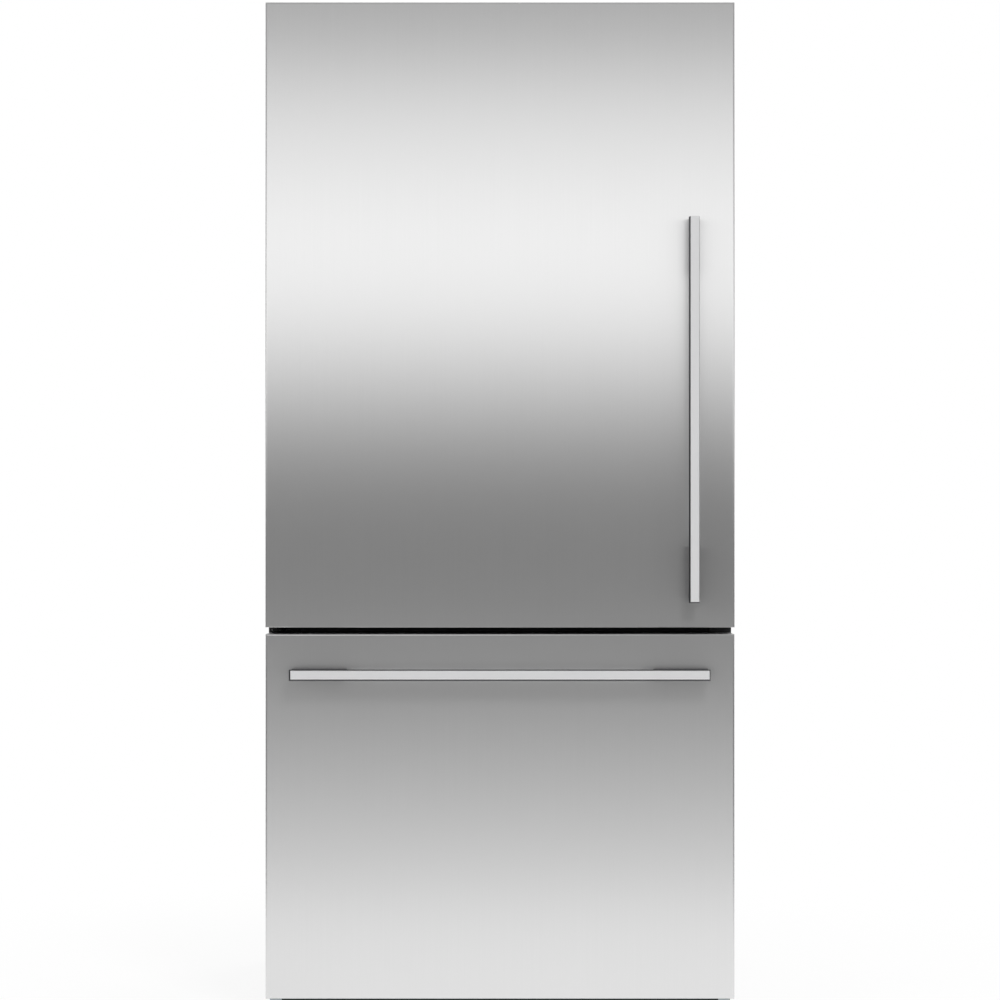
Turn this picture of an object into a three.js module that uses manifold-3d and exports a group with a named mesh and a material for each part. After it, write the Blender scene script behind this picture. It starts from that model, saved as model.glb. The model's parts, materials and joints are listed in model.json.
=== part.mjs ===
// Free-standing refrigerator: a hinged door over a pull-out freezer drawer, one bar handle on each.
// Lengths are millimetres. X runs to the right, Y to the back and Z up. The origin is on the floor,
// under the middle of the box that holds the cabinet and its handles.

import * as THREE from 'three';
import { mergeVertices } from 'three/addons/utils/BufferGeometryUtils.js';
import loadManifold from 'manifold-3d';

const wasm = await loadManifold();
wasm.setup();

// ---- Driving sizes: the outside ----

const width = 790; // cabinet, door and drawer front
const groundClearance = 37; // floor to the drawer front
const drawerHeight = 614;
const frontGap = 11; // between the drawer front and the door
const doorHeight = 1053;
const cabinetDepth = 622;
const panelDepth = 60; // door and drawer front, without the seal
const sealGap = 13; // door panel to cabinet
const handleReach = 45; // front of the handle bars, from the door skin
const cabinetDrop = 18; // the cabinet's top lies this far under the door's top edge
const drawerOverhang = 3; // the drawer front hangs below the cabinet by this
const fit = 0.3; // clearance where one piece seats on another

// ---- Driving sizes: walls and compartments ----

const sheet = 1; // folded steel
const linerWall = 2; // vacuum-formed plastic
const wrapRadius = 5; // bend along the cabinet's top edges
const flangeWidth = 36; // steel face round the cabinet's mouth
const fridgeWall = 50; // side and top insulation, through to the inside
const freezerWall = 65;
const fridgeBackWall = 58;
const freezerBackWall = 70;
const freezerFloorWall = 60;
const mullionDepth = 73; // freezer ceiling to fridge floor
const mullionDrop = 7; // its middle lies this far under the door
const mullionFace = 46; // visible height of the rail between the compartments
const linerCorner = 25; // inside corners of the liners
const machineHeight = 205; // compressor compartment
const machineDepth = 184;
const machineWall = 50; // insulation between it and the freezer

// ---- Driving sizes: hinge, seals and door shape ----

const hingeInset = 18; // hinge pin from the door's side
const hingeBehindSkin = 36; // hinge pin from the door's face
const pinRadius = 5;
const pinLength = 22;
const pinSpare = 4; // depth of each hinge hole past its pin
const bracketThickness = 4;
const bracketArm = 10; // half the width of a hinge arm at its pin
const pocketDepth = 22; // recess in the door's top for the upper hinge arm
const pocketReach = 13; // room in that recess round the pin, ahead and to the right
const edgeRadius = 3; // folded front edges of the steel skins
const sealInset = 19; // seal from the panel's sides
const sealInsetGap = 10; // seal from the panel edges that face the gap
const sealWidth = 15;
const sealCorner = 10;
const sealInnerCorner = 5;
const sealBase = 3; // depth of the strip on the liner
const magnetDepth = 4;
const bellowsInset = 4;
const sealLift = 28; // drawer seal above the cabinet's lower edge
const doorSealDrop = 5; // door seal under the cabinet's top edge
const dykeWidth = 22; // raised rim on the inside of the door
const dykeCorner = 32;
const dykeInnerCorner = 14;
const foamInnerCorner = 5; // where the foam falls short of the liner's round corner
const dykeClearance = 10; // between that rim and the compartment's walls
const doorDyke = 45; // how far it reaches into the compartment
const drawerDyke = 12;
const drawerDykeInset = 50; // room beside it for the runners

// ---- Driving sizes: handles ----

const barWidth = 15;
const barDepth = 12;
const postLength = 92;
const barEdge = 1.2;
const doorBarLength = 644;
const doorBarInset = 69.5; // bar's centre from the door's right side
const doorBarLift = 44.3; // bar's lower end from the door's bottom
const drawerBarInset = 45; // its ends from the drawer's sides
const drawerBarDrop = 66; // bar's centre from the drawer front's top

// ---- Driving sizes: inside the refrigerator ----

const crisperSpace = 208; // compartment floor to the top of the crisper cover
const shelfSpacing = 240;
const shelfSetback = 122; // shelf fronts behind the cabinet's front
const coverSetback = 176;
const shelfBackGap = 5;
const frameHeight = 12;
const frameFront = 22;
const frameRear = 14;
const frameSide = 10;
const frameLedge = 6; // lip that the glass lies on
const frameUpstand = 12; // spill stop along the back
const glassThickness = 4;
const glassCorner = 8;
const frameCorner = 6;
const upstandWall = 4;
const middleBarHalf = 10; // bar under the crisper cover's glass
const ribDepth = 8; // moulded shelf supports on the side walls
const ribHeight = 10;
const railWeb = 3; // runners under the crisper cover
const railLedge = 8;
const railDrop = 10;
const tubWall = 2.5;
const tubRim = 3;
const crisperClearance = 9; // crisper's floor above the compartment's floor
const crisperDraft = 8;
const crisperFrontGap = 5;
const crisperCorner = 14;
const gripHeight = 34; // thick lip along the crisper's front
const gripReach = 5;
const gripRoot = 2;
const ductWidth = 300;
const ductDepth = 22;
const ductMargin = 40; // cover's ends from the ceiling and from the crisper cover
const displayWidth = 170;
const displayHeight = 46;
const displayProud = 4;
const displayDrop = 24; // from the cover's top
const ductCorner = 30;
const slitLift = 95; // lowest slit over each shelf
const slitPitch = 18;
const slitRows = 2;
const slit = [42, 3]; // half the length and half the height of a slit
const lensWidth = 320;
const lensDepth = 90;
const lensHeight = 9;
const lensSetback = 170;
const lensCorner = 20;
const lensSlope = 0.6;

// ---- Driving sizes: door shelves ----

const doorShelfReach = 104; // shelf's front edge from the door's inner wall
const lugDepth = 6;
const lugHeight = 9;
const lugSetback = 12; // from the rim's edge
const shelfCorner = 6;
const bottleShelfLift = 26; // over the lower rim
const bottleShelfHeight = 115;
const middleShelfLevel = 430; // over the door's bottom
const middleShelfHeight = 90;
const dairyLevel = 735;
const dairyHeight = 58;
const dairyCheek = 58; // end walls that rise to the lid's pins
const cheekTip = 40; // their depth at the top
const cheekSetback = 14; // their foot from the shelf's front
const cheekRoot = 12;
const cheekBend = 18;
const lidWall = 2.5;
const lidPinRadius = 3;
const lidPinInset = 11; // pins from the door's inner wall
const lidBend = 30;
const lidSideGap = 1;
const lidSetback = 2; // from the shelf's front and top
const eyeReach = 5; // webs round the pins
const eyeWidth = 6;

// ---- Driving sizes: freezer ----

const runnerLength = 450;
const runnerLevel = 330; // over the freezer's floor
const runnerSetback = 22; // outer member behind the cabinet's front
const runnerHalfHeight = 23;
const runnerReach = 13; // outer member from the wall
const runnerWall = 1.5;
const runnerLip = 5;
const runnerGap = 0.4; // between nested members
const carrierStem = 18; // carrier bar from the wall
const carrierLedge = 12;
const carrierHalfHeight = 25;
const carrierTabHeight = 70;
const carrierTabWidth = 26;
const carrierTabThickness = 3;
const carrierWall = 2;
const stemHalf = 8; // half the height of the web out of the runner's mouth
const binLift = 12; // bin's floor over the freezer's floor
const binDraft = 12;
const binRearGap = 11; // bin to the step over the compressor
const binFrontGap = 10;
const binCorner = 22;
const trayLength = 165;
const trayHeight = 92;
const traySideGap = 3;
const trayFrontGap = 8;
const trayRimHold = 6; // how far the tray's rim lies on the bin's
const trayCorner = 8;
const trayDraft = 4;
const binEndRim = 4;
const evaporatorSpace = 52; // between the freezer's back wall and its cover
const coverPlate = 3;

// ---- Driving sizes: machinery and base ----

const baseSheet = 2;
const railClearance = 14; // base rails over the floor
const baseInset = 7; // base from the cabinet's front and back
const footInsetX = 45;
const footInsetY = 37;
const footRadius = 19;
const footHeight = 8;
const stemRadius = 5;
const bossWall = 5;
const rollerRadius = 17;
const rollerWidth = 16;
const rollerInsetX = 28;
const rollerInsetY = 38;
const axleRadius = 4;
const forkWall = 3;
const forkHalf = 16; // half its length where it leaves the base
const forkTip = 8; // half its length, and its reach under the axle, at the tip
const grilleHeight = 27;
const grilleThickness = 4;
const grilleDrop = 4; // under the cabinet
const grilleInset = 22; // from the cabinet's sides
const grilleColumns = 7;
const grilleSlot = 3; // half the height of a slot
const slotShare = 0.42; // half a slot's length, in pitches
const twoRows = [0.3, 0.7]; // rows of slots, as shares of the height

// ---- Places worked out from the sizes ----

const half = width / 2;
const totalDepth = handleReach + panelDepth + sealGap + cabinetDepth;
const barFront = -totalDepth / 2;
const panelFront = barFront + handleReach;
const panelBack = panelFront + panelDepth;
const cabinetFront = panelBack + sealGap;
const cabinetBack = cabinetFront + cabinetDepth;
const drawerBottom = groundClearance;
const drawerTop = drawerBottom + drawerHeight;
const doorBottom = drawerTop + frontGap;
const doorTop = doorBottom + doorHeight;
const gapMiddle = (drawerTop + doorBottom) / 2;
const mullionMiddle = doorBottom - mullionDrop;
const cabinetTop = doorTop - cabinetDrop;
const cabinetBottom = drawerBottom + drawerOverhang;
const fridgeHalf = half - fridgeWall;
const fridgeFloor = mullionMiddle + mullionDepth / 2;
const fridgeCeiling = cabinetTop - fridgeWall;
const fridgeBack = cabinetBack - fridgeBackWall;
const freezerHalf = half - freezerWall;
const freezerFloor = cabinetBottom + freezerFloorWall;
const freezerCeiling = mullionMiddle - mullionDepth / 2;
const freezerBack = cabinetBack - freezerBackWall;
const machineTop = cabinetBottom + machineHeight;
const machineFront = cabinetBack - machineDepth;
const stepTop = machineTop + machineWall;
const stepFront = machineFront - machineWall;
const mouthHalf = half - flangeWidth;
const mouthTop = cabinetTop - flangeWidth;
const mouthBottom = cabinetBottom + flangeWidth;
const railTop = mullionMiddle + mullionFace / 2;
const railBottom = mullionMiddle - mullionFace / 2;
const hingeX = -half + hingeInset;
const hingeY = panelFront + hingeBehindSkin;
const beyond = 5; // how far a cutter reaches past what it cuts
const bite = 1; // how far a joined solid reaches into its neighbour

// ---- Solids from three.js geometry ----

function toSolid(geometry) {
  geometry.deleteAttribute('normal');
  geometry.deleteAttribute('uv');
  const merged = mergeVertices(geometry);
  const index = Array.from(merged.index.array);
  const triangles = [];
  for (let i = 0; i < index.length; i += 3) {
    const corners = index.slice(i, i + 3);
    if (new Set(corners).size === 3) triangles.push(...corners);
  }
  return new wasm.Manifold(new wasm.Mesh({
    numProp: 3,
    vertProperties: merged.attributes.position.array,
    triVerts: new Uint32Array(triangles),
  }));
}

// A closed outline whose corners, each [across, up, radius], are rounded.
function outline(corners) {
  const shape = new THREE.Shape();
  corners.forEach(([across, up, radius = 0], i) => {
    const corner = new THREE.Vector2(across, up);
    const before = new THREE.Vector2(...corners.at(i - 1)).sub(corner).normalize();
    const after = new THREE.Vector2(...corners[(i + 1) % corners.length]).sub(corner).normalize();
    const cut = radius / Math.tan(Math.acos(before.dot(after)) / 2);
    const start = corner.clone().addScaledVector(before, cut);
    const end = corner.clone().addScaledVector(after, cut);
    if (i === 0) shape.moveTo(start.x, start.y);
    else shape.lineTo(start.x, start.y);
    if (radius > 0) shape.quadraticCurveTo(corner.x, corner.y, end.x, end.y);
  });
  shape.closePath();
  return shape;
}

function rectangle(a0, a1, b0, b1, radius = 0) {
  return outline([[a0, b0, radius], [a1, b0, radius], [a1, b1, radius], [a0, b1, radius]]);
}

const xAxis = new THREE.Vector3(1, 0, 0);
const yAxis = new THREE.Vector3(0, 1, 0);
const zAxis = new THREE.Vector3(0, 0, 1);
const drawnInYZ = new THREE.Matrix4().makeBasis(yAxis, zAxis, xAxis);
const drawnInXZ = new THREE.Matrix4().makeBasis(xAxis, zAxis, yAxis.clone().negate());

// Pulls a flat outline from one level to another along x, y or z.
function pull(shape, direction, low, high, curveSegments = 4) {
  const settings = { depth: 1, bevelEnabled: false, curveSegments };
  const geometry = new THREE.ExtrudeGeometry(shape, settings);
  const [start, end] = direction === 'y' ? [-high, -low] : [low, high];
  const position = geometry.attributes.position;
  for (let i = 0; i < position.count; i += 1) {
    position.setZ(i, position.getZ(i) < 0.5 ? start : end);
  }
  if (direction === 'x') geometry.applyMatrix4(drawnInYZ);
  if (direction === 'y') geometry.applyMatrix4(drawnInXZ);
  return toSolid(geometry);
}

function ordered(a, b) {
  return a < b ? [a, b] : [b, a];
}

function block(x0, x1, y0, y1, z0, z1) {
  return pull(rectangle(x0, x1, y0, y1), 'z', z0, z1);
}

function rod(from, to, radius, sides = 12) {
  const start = new THREE.Vector3(...from);
  const end = new THREE.Vector3(...to);
  const axis = end.clone().sub(start);
  const geometry = new THREE.CylinderGeometry(radius, radius, axis.length(), sides);
  geometry.applyQuaternion(new THREE.Quaternion().setFromUnitVectors(yAxis, axis.normalize()));
  const middle = start.add(end).multiplyScalar(0.5);
  geometry.translate(middle.x, middle.y, middle.z);
  return toSolid(geometry);
}

function join(first, ...others) {
  return others.reduce((whole, piece) => whole.add(piece), first);
}

function cut(body, ...cutters) {
  return cutters.reduce((rest, cutter) => rest.subtract(cutter), body);
}

// A block with a rounded outline in plan, drawn in from its top level down by a slope.
function tapered([x0, x1], [y0, y1], [z0, z1], radius, slope, top = z1) {
  const settings = { depth: z1 - z0, bevelEnabled: false, curveSegments: 3 };
  const geometry = new THREE.ExtrudeGeometry(rectangle(x0, x1, y0, y1, radius), settings);
  geometry.translate(0, 0, z0);
  const position = geometry.attributes.position;
  for (let i = 0; i < position.count; i += 1) {
    const draft = slope * (top - position.getZ(i));
    position.setX(i, position.getX(i) - draft * Math.sign(position.getX(i) - (x0 + x1) / 2));
    position.setY(i, position.getY(i) - draft * Math.sign(position.getY(i) - (y0 + y1) / 2));
  }
  return toSolid(geometry);
}

// An open moulded tub with drafted walls and a rim that overhangs its sides and ends.
function tub({ x, y, z, radius, draft, sideRim, endRim }) {
  const slope = draft / (z[1] - z[0]);
  const outer = tapered(x, y, z, radius, slope);
  const rim = pull(
    rectangle(x[0] - sideRim, x[1] + sideRim, y[0] - endRim, y[1] + endRim, radius),
    'z', z[1] - tubRim, z[1],
  );
  const inner = tapered(
    [x[0] + tubWall, x[1] - tubWall], [y[0] + tubWall, y[1] - tubWall],
    [z[0] + tubWall, z[1] + beyond], radius - tubWall, slope, z[1],
  );
  return cut(outer.add(rim), inner);
}

// ---- The scene ----

const refrigerator = new THREE.Group();

function groupAt(x, y, z, parent = refrigerator) {
  const group = new THREE.Group();
  const origin = parent.getWorldPosition(new THREE.Vector3());
  group.position.set(x, y, z).sub(origin);
  parent.add(group);
  return group;
}

function add(parent, name, solid, color, roughness, metalness, opacity = 1) {
  const data = solid.getMesh();
  const geometry = new THREE.BufferGeometry();
  geometry.setAttribute('position', new THREE.BufferAttribute(data.vertProperties, 3));
  geometry.setIndex(new THREE.BufferAttribute(data.triVerts, 1));
  const origin = parent.getWorldPosition(new THREE.Vector3());
  geometry.translate(-origin.x, -origin.y, -origin.z);
  geometry.computeVertexNormals();
  const transparent = opacity < 1;
  const material = new THREE.MeshStandardMaterial({
    color, roughness, metalness, opacity, transparent, flatShading: true,
  });
  const mesh = new THREE.Mesh(geometry, material);
  mesh.name = name;
  parent.add(mesh);
}

const stainless = [0xb4b5b7, 0.34, 1];
const satinSteel = [0xcfd0d2, 0.28, 1];
const paintedSteel = [0xb9bcc0, 0.45, 0.2];
const blackSteel = [0x17181a, 0.5, 0.3];
const galvanised = [0x9aa0a4, 0.45, 0.9];
const whitePlastic = [0xeff1f2, 0.35, 0];
const greyPlastic = [0xc6cace, 0.4, 0];
const clearPlastic = [0xe4eef2, 0.12, 0, 0.5];
const clearGlass = [0xdcebe8, 0.04, 0, 0.4];
const foamYellow = [0xe6d9a8, 0.9, 0];
const sealGrey = [0x8d9094, 0.7, 0];
const blackRubber = [0x1b1c1e, 0.8, 0];
const aluminium = [0xc3c7cb, 0.35, 1];

// ---- Cabinet ----

const cabinet = groupAt(0, 0, 0);

// The wrapper is one steel sheet folded over the sides and the top, with a face round the mouth.
function cabinetShell() {
  const face = outline([
    [-half, cabinetBottom], [half, cabinetBottom],
    [half, cabinetTop, wrapRadius], [-half, cabinetTop, wrapRadius],
  ]);
  const inner = outline([
    [-half + sheet, cabinetBottom - beyond], [half - sheet, cabinetBottom - beyond],
    [half - sheet, cabinetTop - sheet, wrapRadius - sheet],
    [-half + sheet, cabinetTop - sheet, wrapRadius - sheet],
  ]);
  const mouth = rectangle(-mouthHalf, mouthHalf, mouthBottom, mouthTop);
  return cut(
    pull(face, 'y', cabinetFront, cabinetBack),
    pull(inner, 'y', cabinetFront + sheet, cabinetBack + beyond),
    pull(mouth, 'y', cabinetFront - beyond, cabinetFront + sheet + beyond),
  );
}

const innerHalf = half - sheet - fit;

// The back sheet runs down, forward over the compressor compartment, and down again.
function backPanel() {
  const top = cabinetTop - sheet - fit - wrapRadius;
  const profile = outline([
    [cabinetBack, top], [cabinetBack - sheet, top],
    [cabinetBack - sheet, machineTop + sheet], [machineFront - sheet, machineTop + sheet],
    [machineFront - sheet, cabinetBottom], [machineFront, cabinetBottom],
    [machineFront, machineTop], [cabinetBack, machineTop],
  ]);
  return pull(profile, 'x', -innerHalf, innerHalf);
}

// Outlines of the two compartments, grown from the inside surface by the given amount.
function fridgeOutline(grow) {
  return rectangle(
    -fridgeHalf - grow, fridgeHalf + grow, fridgeFloor - grow, fridgeCeiling + grow, linerCorner + grow,
  );
}

function freezerProfile(front, grow) {
  return outline([
    [front, freezerFloor - grow], [stepFront + grow, freezerFloor - grow, linerCorner],
    [stepFront + grow, stepTop - grow, linerCorner], [freezerBack + grow, stepTop - grow, linerCorner],
    [freezerBack + grow, freezerCeiling + grow, linerCorner], [front, freezerCeiling + grow],
  ]);
}

function insulationFoam() {
  const front = cabinetFront + linerWall + fit;
  const back = cabinetBack - sheet - fit;
  const top = cabinetTop - sheet - fit;
  const around = linerWall + fit;
  const bodyOutline = outline([
    [-innerHalf, cabinetBottom], [innerHalf, cabinetBottom],
    [innerHalf, top, wrapRadius], [-innerHalf, top, wrapRadius],
  ]);
  return cut(
    pull(bodyOutline, 'y', front, back),
    block(-half, half, machineFront - sheet - fit, cabinetBack + beyond,
      cabinetBottom - beyond, machineTop + sheet + fit),
    pull(fridgeOutline(around), 'y', cabinetFront - beyond, fridgeBack + around),
    pull(freezerProfile(cabinetFront - beyond, around), 'x', -freezerHalf - around, freezerHalf + around),
  );
}

const shelfTops = {
  upper: fridgeFloor + crisperSpace + 2 * shelfSpacing,
  middle: fridgeFloor + crisperSpace + shelfSpacing,
};
const coverTop = fridgeFloor + crisperSpace;
const coverBottom = coverTop - frameHeight;
const ledgeTop = coverBottom - railDrop;
const shelfFront = cabinetFront + shelfSetback;
const coverFront = cabinetFront + coverSetback;
const ductFront = fridgeBack - fit - ductDepth;
const shelfBack = ductFront - shelfBackGap;

// Vacuum-formed in one piece, with the shelf supports standing out of its side walls.
function fridgeLiner() {
  const lip = rectangle(-mouthHalf + fit, mouthHalf - fit, railTop + fit, mouthTop - fit);
  const ribs = [];
  const supports = [
    [shelfTops.upper - frameHeight, shelfFront], [shelfTops.middle - frameHeight, shelfFront],
    [ledgeTop - railWeb, coverFront],
  ];
  for (const [level, front] of supports) {
    const ribTop = level - fit;
    for (const sideSign of [-1, 1]) {
      const wall = sideSign * (fridgeHalf + linerWall / 2);
      const edge = sideSign * (fridgeHalf - ribDepth);
      const profile = outline([
        [wall, ribTop - ribHeight], [edge, ribTop - ribHeight / 2],
        [edge, ribTop], [wall, ribTop],
      ]);
      ribs.push(pull(profile, 'y', front + frameFront, shelfBack));
    }
  }
  const walls = join(
    pull(fridgeOutline(linerWall), 'y', cabinetFront, fridgeBack + linerWall),
    pull(lip, 'y', cabinetFront, cabinetFront + linerWall),
  );
  return join(cut(walls, pull(fridgeOutline(0), 'y', cabinetFront - beyond, fridgeBack)), ...ribs);
}

function freezerLiner() {
  const lip = rectangle(-mouthHalf + fit, mouthHalf - fit, mouthBottom + fit, railBottom - fit);
  const outer = freezerHalf + linerWall;
  const walls = join(
    pull(freezerProfile(cabinetFront, linerWall), 'x', -outer, outer),
    pull(lip, 'y', cabinetFront, cabinetFront + linerWall),
  );
  return cut(walls, pull(freezerProfile(cabinetFront - beyond, 0), 'x', -freezerHalf, freezerHalf));
}

function mullionRail() {
  const face = rectangle(-mouthHalf + fit, mouthHalf - fit, railBottom, railTop);
  return pull(face, 'y', cabinetFront, cabinetFront + linerWall);
}

add(cabinet, 'cabinet_shell', cabinetShell(), ...paintedSteel);
add(cabinet, 'back_panel', backPanel(), ...galvanised);
add(cabinet, 'insulation_foam', insulationFoam(), ...foamYellow);
add(cabinet, 'fridge_liner', fridgeLiner(), ...whitePlastic);
add(cabinet, 'freezer_liner', freezerLiner(), ...whitePlastic);
add(cabinet, 'mullion_rail', mullionRail(), ...blackSteel);

// ---- Hinges ----

const bracketBottom = cabinetTop + fit;
const bracketTop = bracketBottom + bracketThickness;
const bracketEnd = cabinetFront + 95; // the upper bracket's length back along the cabinet's top
const bracketWide = 62;
const armEnd = cabinetFront + 6;
const armCorner = 9;
const bracketStep = 14; // the plate widens behind its arm
const bracketCorner = 6;
const screwX = hingeX + 20;
const screwPlaces = [0.35, 0.75]; // shares of the plate's length behind its arm
const screwHeadRadius = 6;
const screwHeadHeight = 4;
const coverWall = 2;
const coverMargin = 3; // between the bracket and the cover's wall
const coverHeight = 15;
const centreBracketInset = 4;
const centreBracketHeight = 26;
const centreBracketWidth = 52;

// The upper bracket is a flat plate on the cabinet's top, with the pin hanging from its arm.
function topHingeBracket() {
  const plate = outline([
    [hingeX - bracketArm, hingeY - bracketArm, armCorner],
    [hingeX + bracketArm, hingeY - bracketArm, armCorner],
    [hingeX + bracketArm, armEnd, bracketCorner],
    [-half + bracketWide, armEnd + bracketStep, bracketCorner],
    [-half + bracketWide, bracketEnd, bracketCorner],
    [hingeX - bracketArm, bracketEnd, bracketCorner],
  ]);
  const screws = screwPlaces.map((share) => {
    const y = armEnd + share * (bracketEnd - armEnd);
    const headTop = bracketTop + screwHeadHeight;
    return rod([screwX, y, bracketTop - bite], [screwX, y, headTop], screwHeadRadius, 6);
  });
  const pin = rod(
    [hingeX, hingeY, bracketBottom - pinLength], [hingeX, hingeY, bracketTop - bite], pinRadius,
  );
  return join(pull(plate, 'z', bracketBottom, bracketTop), pin, ...screws);
}

function topHingeCover() {
  const x0 = -half + wrapRadius;
  const x1 = -half + bracketWide + coverWall + coverMargin;
  const y0 = cabinetFront + coverMargin;
  const y1 = bracketEnd + coverWall + coverMargin;
  const z0 = cabinetTop + fit;
  const z1 = cabinetTop + coverHeight;
  const outer = tapered([x0, x1], [y0, y1], [z0, z1], bracketCorner, 0);
  const inner = tapered(
    [x0 + coverWall, x1 - coverWall], [y0 + coverWall, y1 - coverWall],
    [z0 - beyond, z1 - coverWall], coverWall, 0,
  );
  const armSlot = block(
    hingeX - bracketArm - 1, hingeX + bracketArm + 1, y0 - beyond, armEnd, z0 - beyond, bracketTop + 1,
  );
  return cut(outer, inner, armSlot);
}

// The centre bracket screws to the rail's end and carries the door on a pin that points up.
function centreHingeBracket() {
  const armTop = gapMiddle + bracketThickness / 2;
  const plateBack = cabinetFront - fit;
  const arm = outline([
    [hingeX - bracketArm, hingeY - bracketArm, armCorner],
    [hingeX + bracketArm, hingeY - bracketArm, armCorner],
    [hingeX + bracketArm, plateBack], [hingeX - bracketArm, plateBack],
  ]);
  const left = -half + centreBracketInset;
  const upright = rectangle(
    left, left + centreBracketWidth,
    mullionMiddle - centreBracketHeight / 2, mullionMiddle + centreBracketHeight / 2, bracketCorner,
  );
  const pinTop = doorBottom + pinLength - pinSpare;
  const pin = rod([hingeX, hingeY, armTop - bite], [hingeX, hingeY, pinTop], pinRadius);
  return join(
    pull(arm, 'z', armTop - bracketThickness, armTop),
    pull(upright, 'y', plateBack - bracketThickness, plateBack),
    pin,
  );
}

add(cabinet, 'top_hinge_bracket', topHingeBracket(), ...galvanised);
add(cabinet, 'top_hinge_cover', topHingeCover(), ...greyPlastic);
add(cabinet, 'centre_hinge_bracket', centreHingeBracket(), ...blackSteel);

// ---- Base: tray, grille, feet and rollers ----

const baseTop = cabinetBottom - fit;
const baseFront = cabinetFront + baseInset;
const baseBack = cabinetBack - 3;
const footX = half - footInsetX;
const footY = cabinetFront + footInsetY;
const rollerX = half - rollerInsetX;
const rollerY = cabinetBack - rollerInsetY;
const rollerPinEnd = rollerWidth / 2 + fit + forkWall;

// A folded tray with rails under its sides and front, foot bosses, and a fork for each roller.
function baseFrame() {
  const plate = block(-innerHalf, innerHalf, baseFront, baseBack, baseTop - baseSheet, baseTop);
  const pieces = [
    block(-innerHalf, innerHalf, baseFront, baseFront + baseSheet, railClearance, baseTop),
  ];
  const holes = [];
  for (const sideSign of [-1, 1]) {
    const rail = ordered(sideSign * (innerHalf - baseSheet), sideSign * innerHalf);
    pieces.push(block(...rail, baseFront, baseBack, railClearance, baseTop));
    const x = sideSign * footX;
    const bossRadius = stemRadius + fit + bossWall;
    pieces.push(rod([x, footY, railClearance], [x, footY, baseTop - bite], bossRadius));
    holes.push(rod([x, footY, 0], [x, footY, baseTop - baseSheet], stemRadius + fit));
    const middle = sideSign * rollerX;
    for (const end of [-1, 1]) {
      const near = middle + end * (rollerWidth / 2 + fit);
      const far = middle + end * rollerPinEnd;
      const fork = outline([
        [rollerY - forkHalf, baseTop - bite], [rollerY - forkTip, rollerRadius - forkTip, 6],
        [rollerY + forkTip, rollerRadius - forkTip, 6], [rollerY + forkHalf, baseTop - bite],
      ]);
      pieces.push(pull(fork, 'x', ...ordered(near, far)));
    }
    pieces.push(rod(
      [middle - rollerPinEnd, rollerY, rollerRadius], [middle + rollerPinEnd, rollerY, rollerRadius],
      axleRadius,
    ));
  }
  return cut(join(plate, ...pieces), ...holes);
}

function toeGrille() {
  const top = baseTop - grilleDrop;
  const bottom = top - grilleHeight;
  const reach = half - grilleInset;
  const back = baseFront - fit;
  const slots = [];
  const pitch = (2 * reach) / grilleColumns;
  const slotHalf = pitch * slotShare;
  for (let column = 0; column < grilleColumns; column += 1) {
    const x = -reach + pitch * (column + 0.5);
    for (const level of twoRows) {
      const z = bottom + level * grilleHeight;
      const slot = rectangle(x - slotHalf, x + slotHalf, z - grilleSlot, z + grilleSlot);
      slots.push(pull(slot, 'y', back - grilleThickness - beyond, back + beyond));
    }
  }
  const plate = rectangle(-reach, reach, bottom, top, grilleSlot);
  return cut(pull(plate, 'y', back - grilleThickness, back), ...slots);
}

add(cabinet, 'base_frame', baseFrame(), ...galvanised);
add(cabinet, 'toe_grille', toeGrille(), ...blackSteel);

for (const [side, sideSign] of [['left', -1], ['right', 1]]) {
  const x = sideSign * footX;
  const foot = groupAt(x, footY, 0);
  const stemTop = baseTop - baseSheet - bite;
  const disc = rod([x, footY, 0], [x, footY, footHeight], footRadius, 20);
  const stem = rod([x, footY, footHeight - bite], [x, footY, stemTop], stemRadius);
  add(foot, `levelling_foot_${side}`, disc.add(stem), ...blackRubber);

  const middle = sideSign * rollerX;
  const roller = groupAt(middle, rollerY, rollerRadius);
  const [left, right] = [middle - rollerWidth / 2, middle + rollerWidth / 2];
  const tyre = rod([left, rollerY, rollerRadius], [right, rollerY, rollerRadius], rollerRadius, 16);
  const bore = rod(
    [left - beyond, rollerY, rollerRadius], [right + beyond, rollerY, rollerRadius], axleRadius + fit,
  );
  add(roller, `rear_roller_${side}`, tyre.subtract(bore), ...blackRubber);
}

// ---- Machinery at the back ----

const machineMiddle = (machineFront + cabinetBack) / 2;
const compressorInset = 190; // its middle, from the cabinet's right side
const compressorX = half - compressorInset;
const compressorRadius = 72;
const compressorStretch = 1.25;
const compressorFeet = 10;
const compressorPlate = 3;
const compressorHeight = 150;
const mountInset = 14; // rubber feet from the foot plate's edges
const mountRadius = 9;
const terminalReach = 16; // terminal box, out of the pot's side
const terminalHalf = 24;
const terminalLift = 30;
const bellyShare = 0.62; // height of the pot's seam
const stubSpread = 22;
const stubReach = 22;
const stubRadius = 4;
const compressorBottom = cabinetBottom + compressorFeet + compressorPlate;
const compressorTop = compressorBottom + compressorHeight;
const dripTrayHeight = 26;
const dripTrayCorner = 10;

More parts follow.
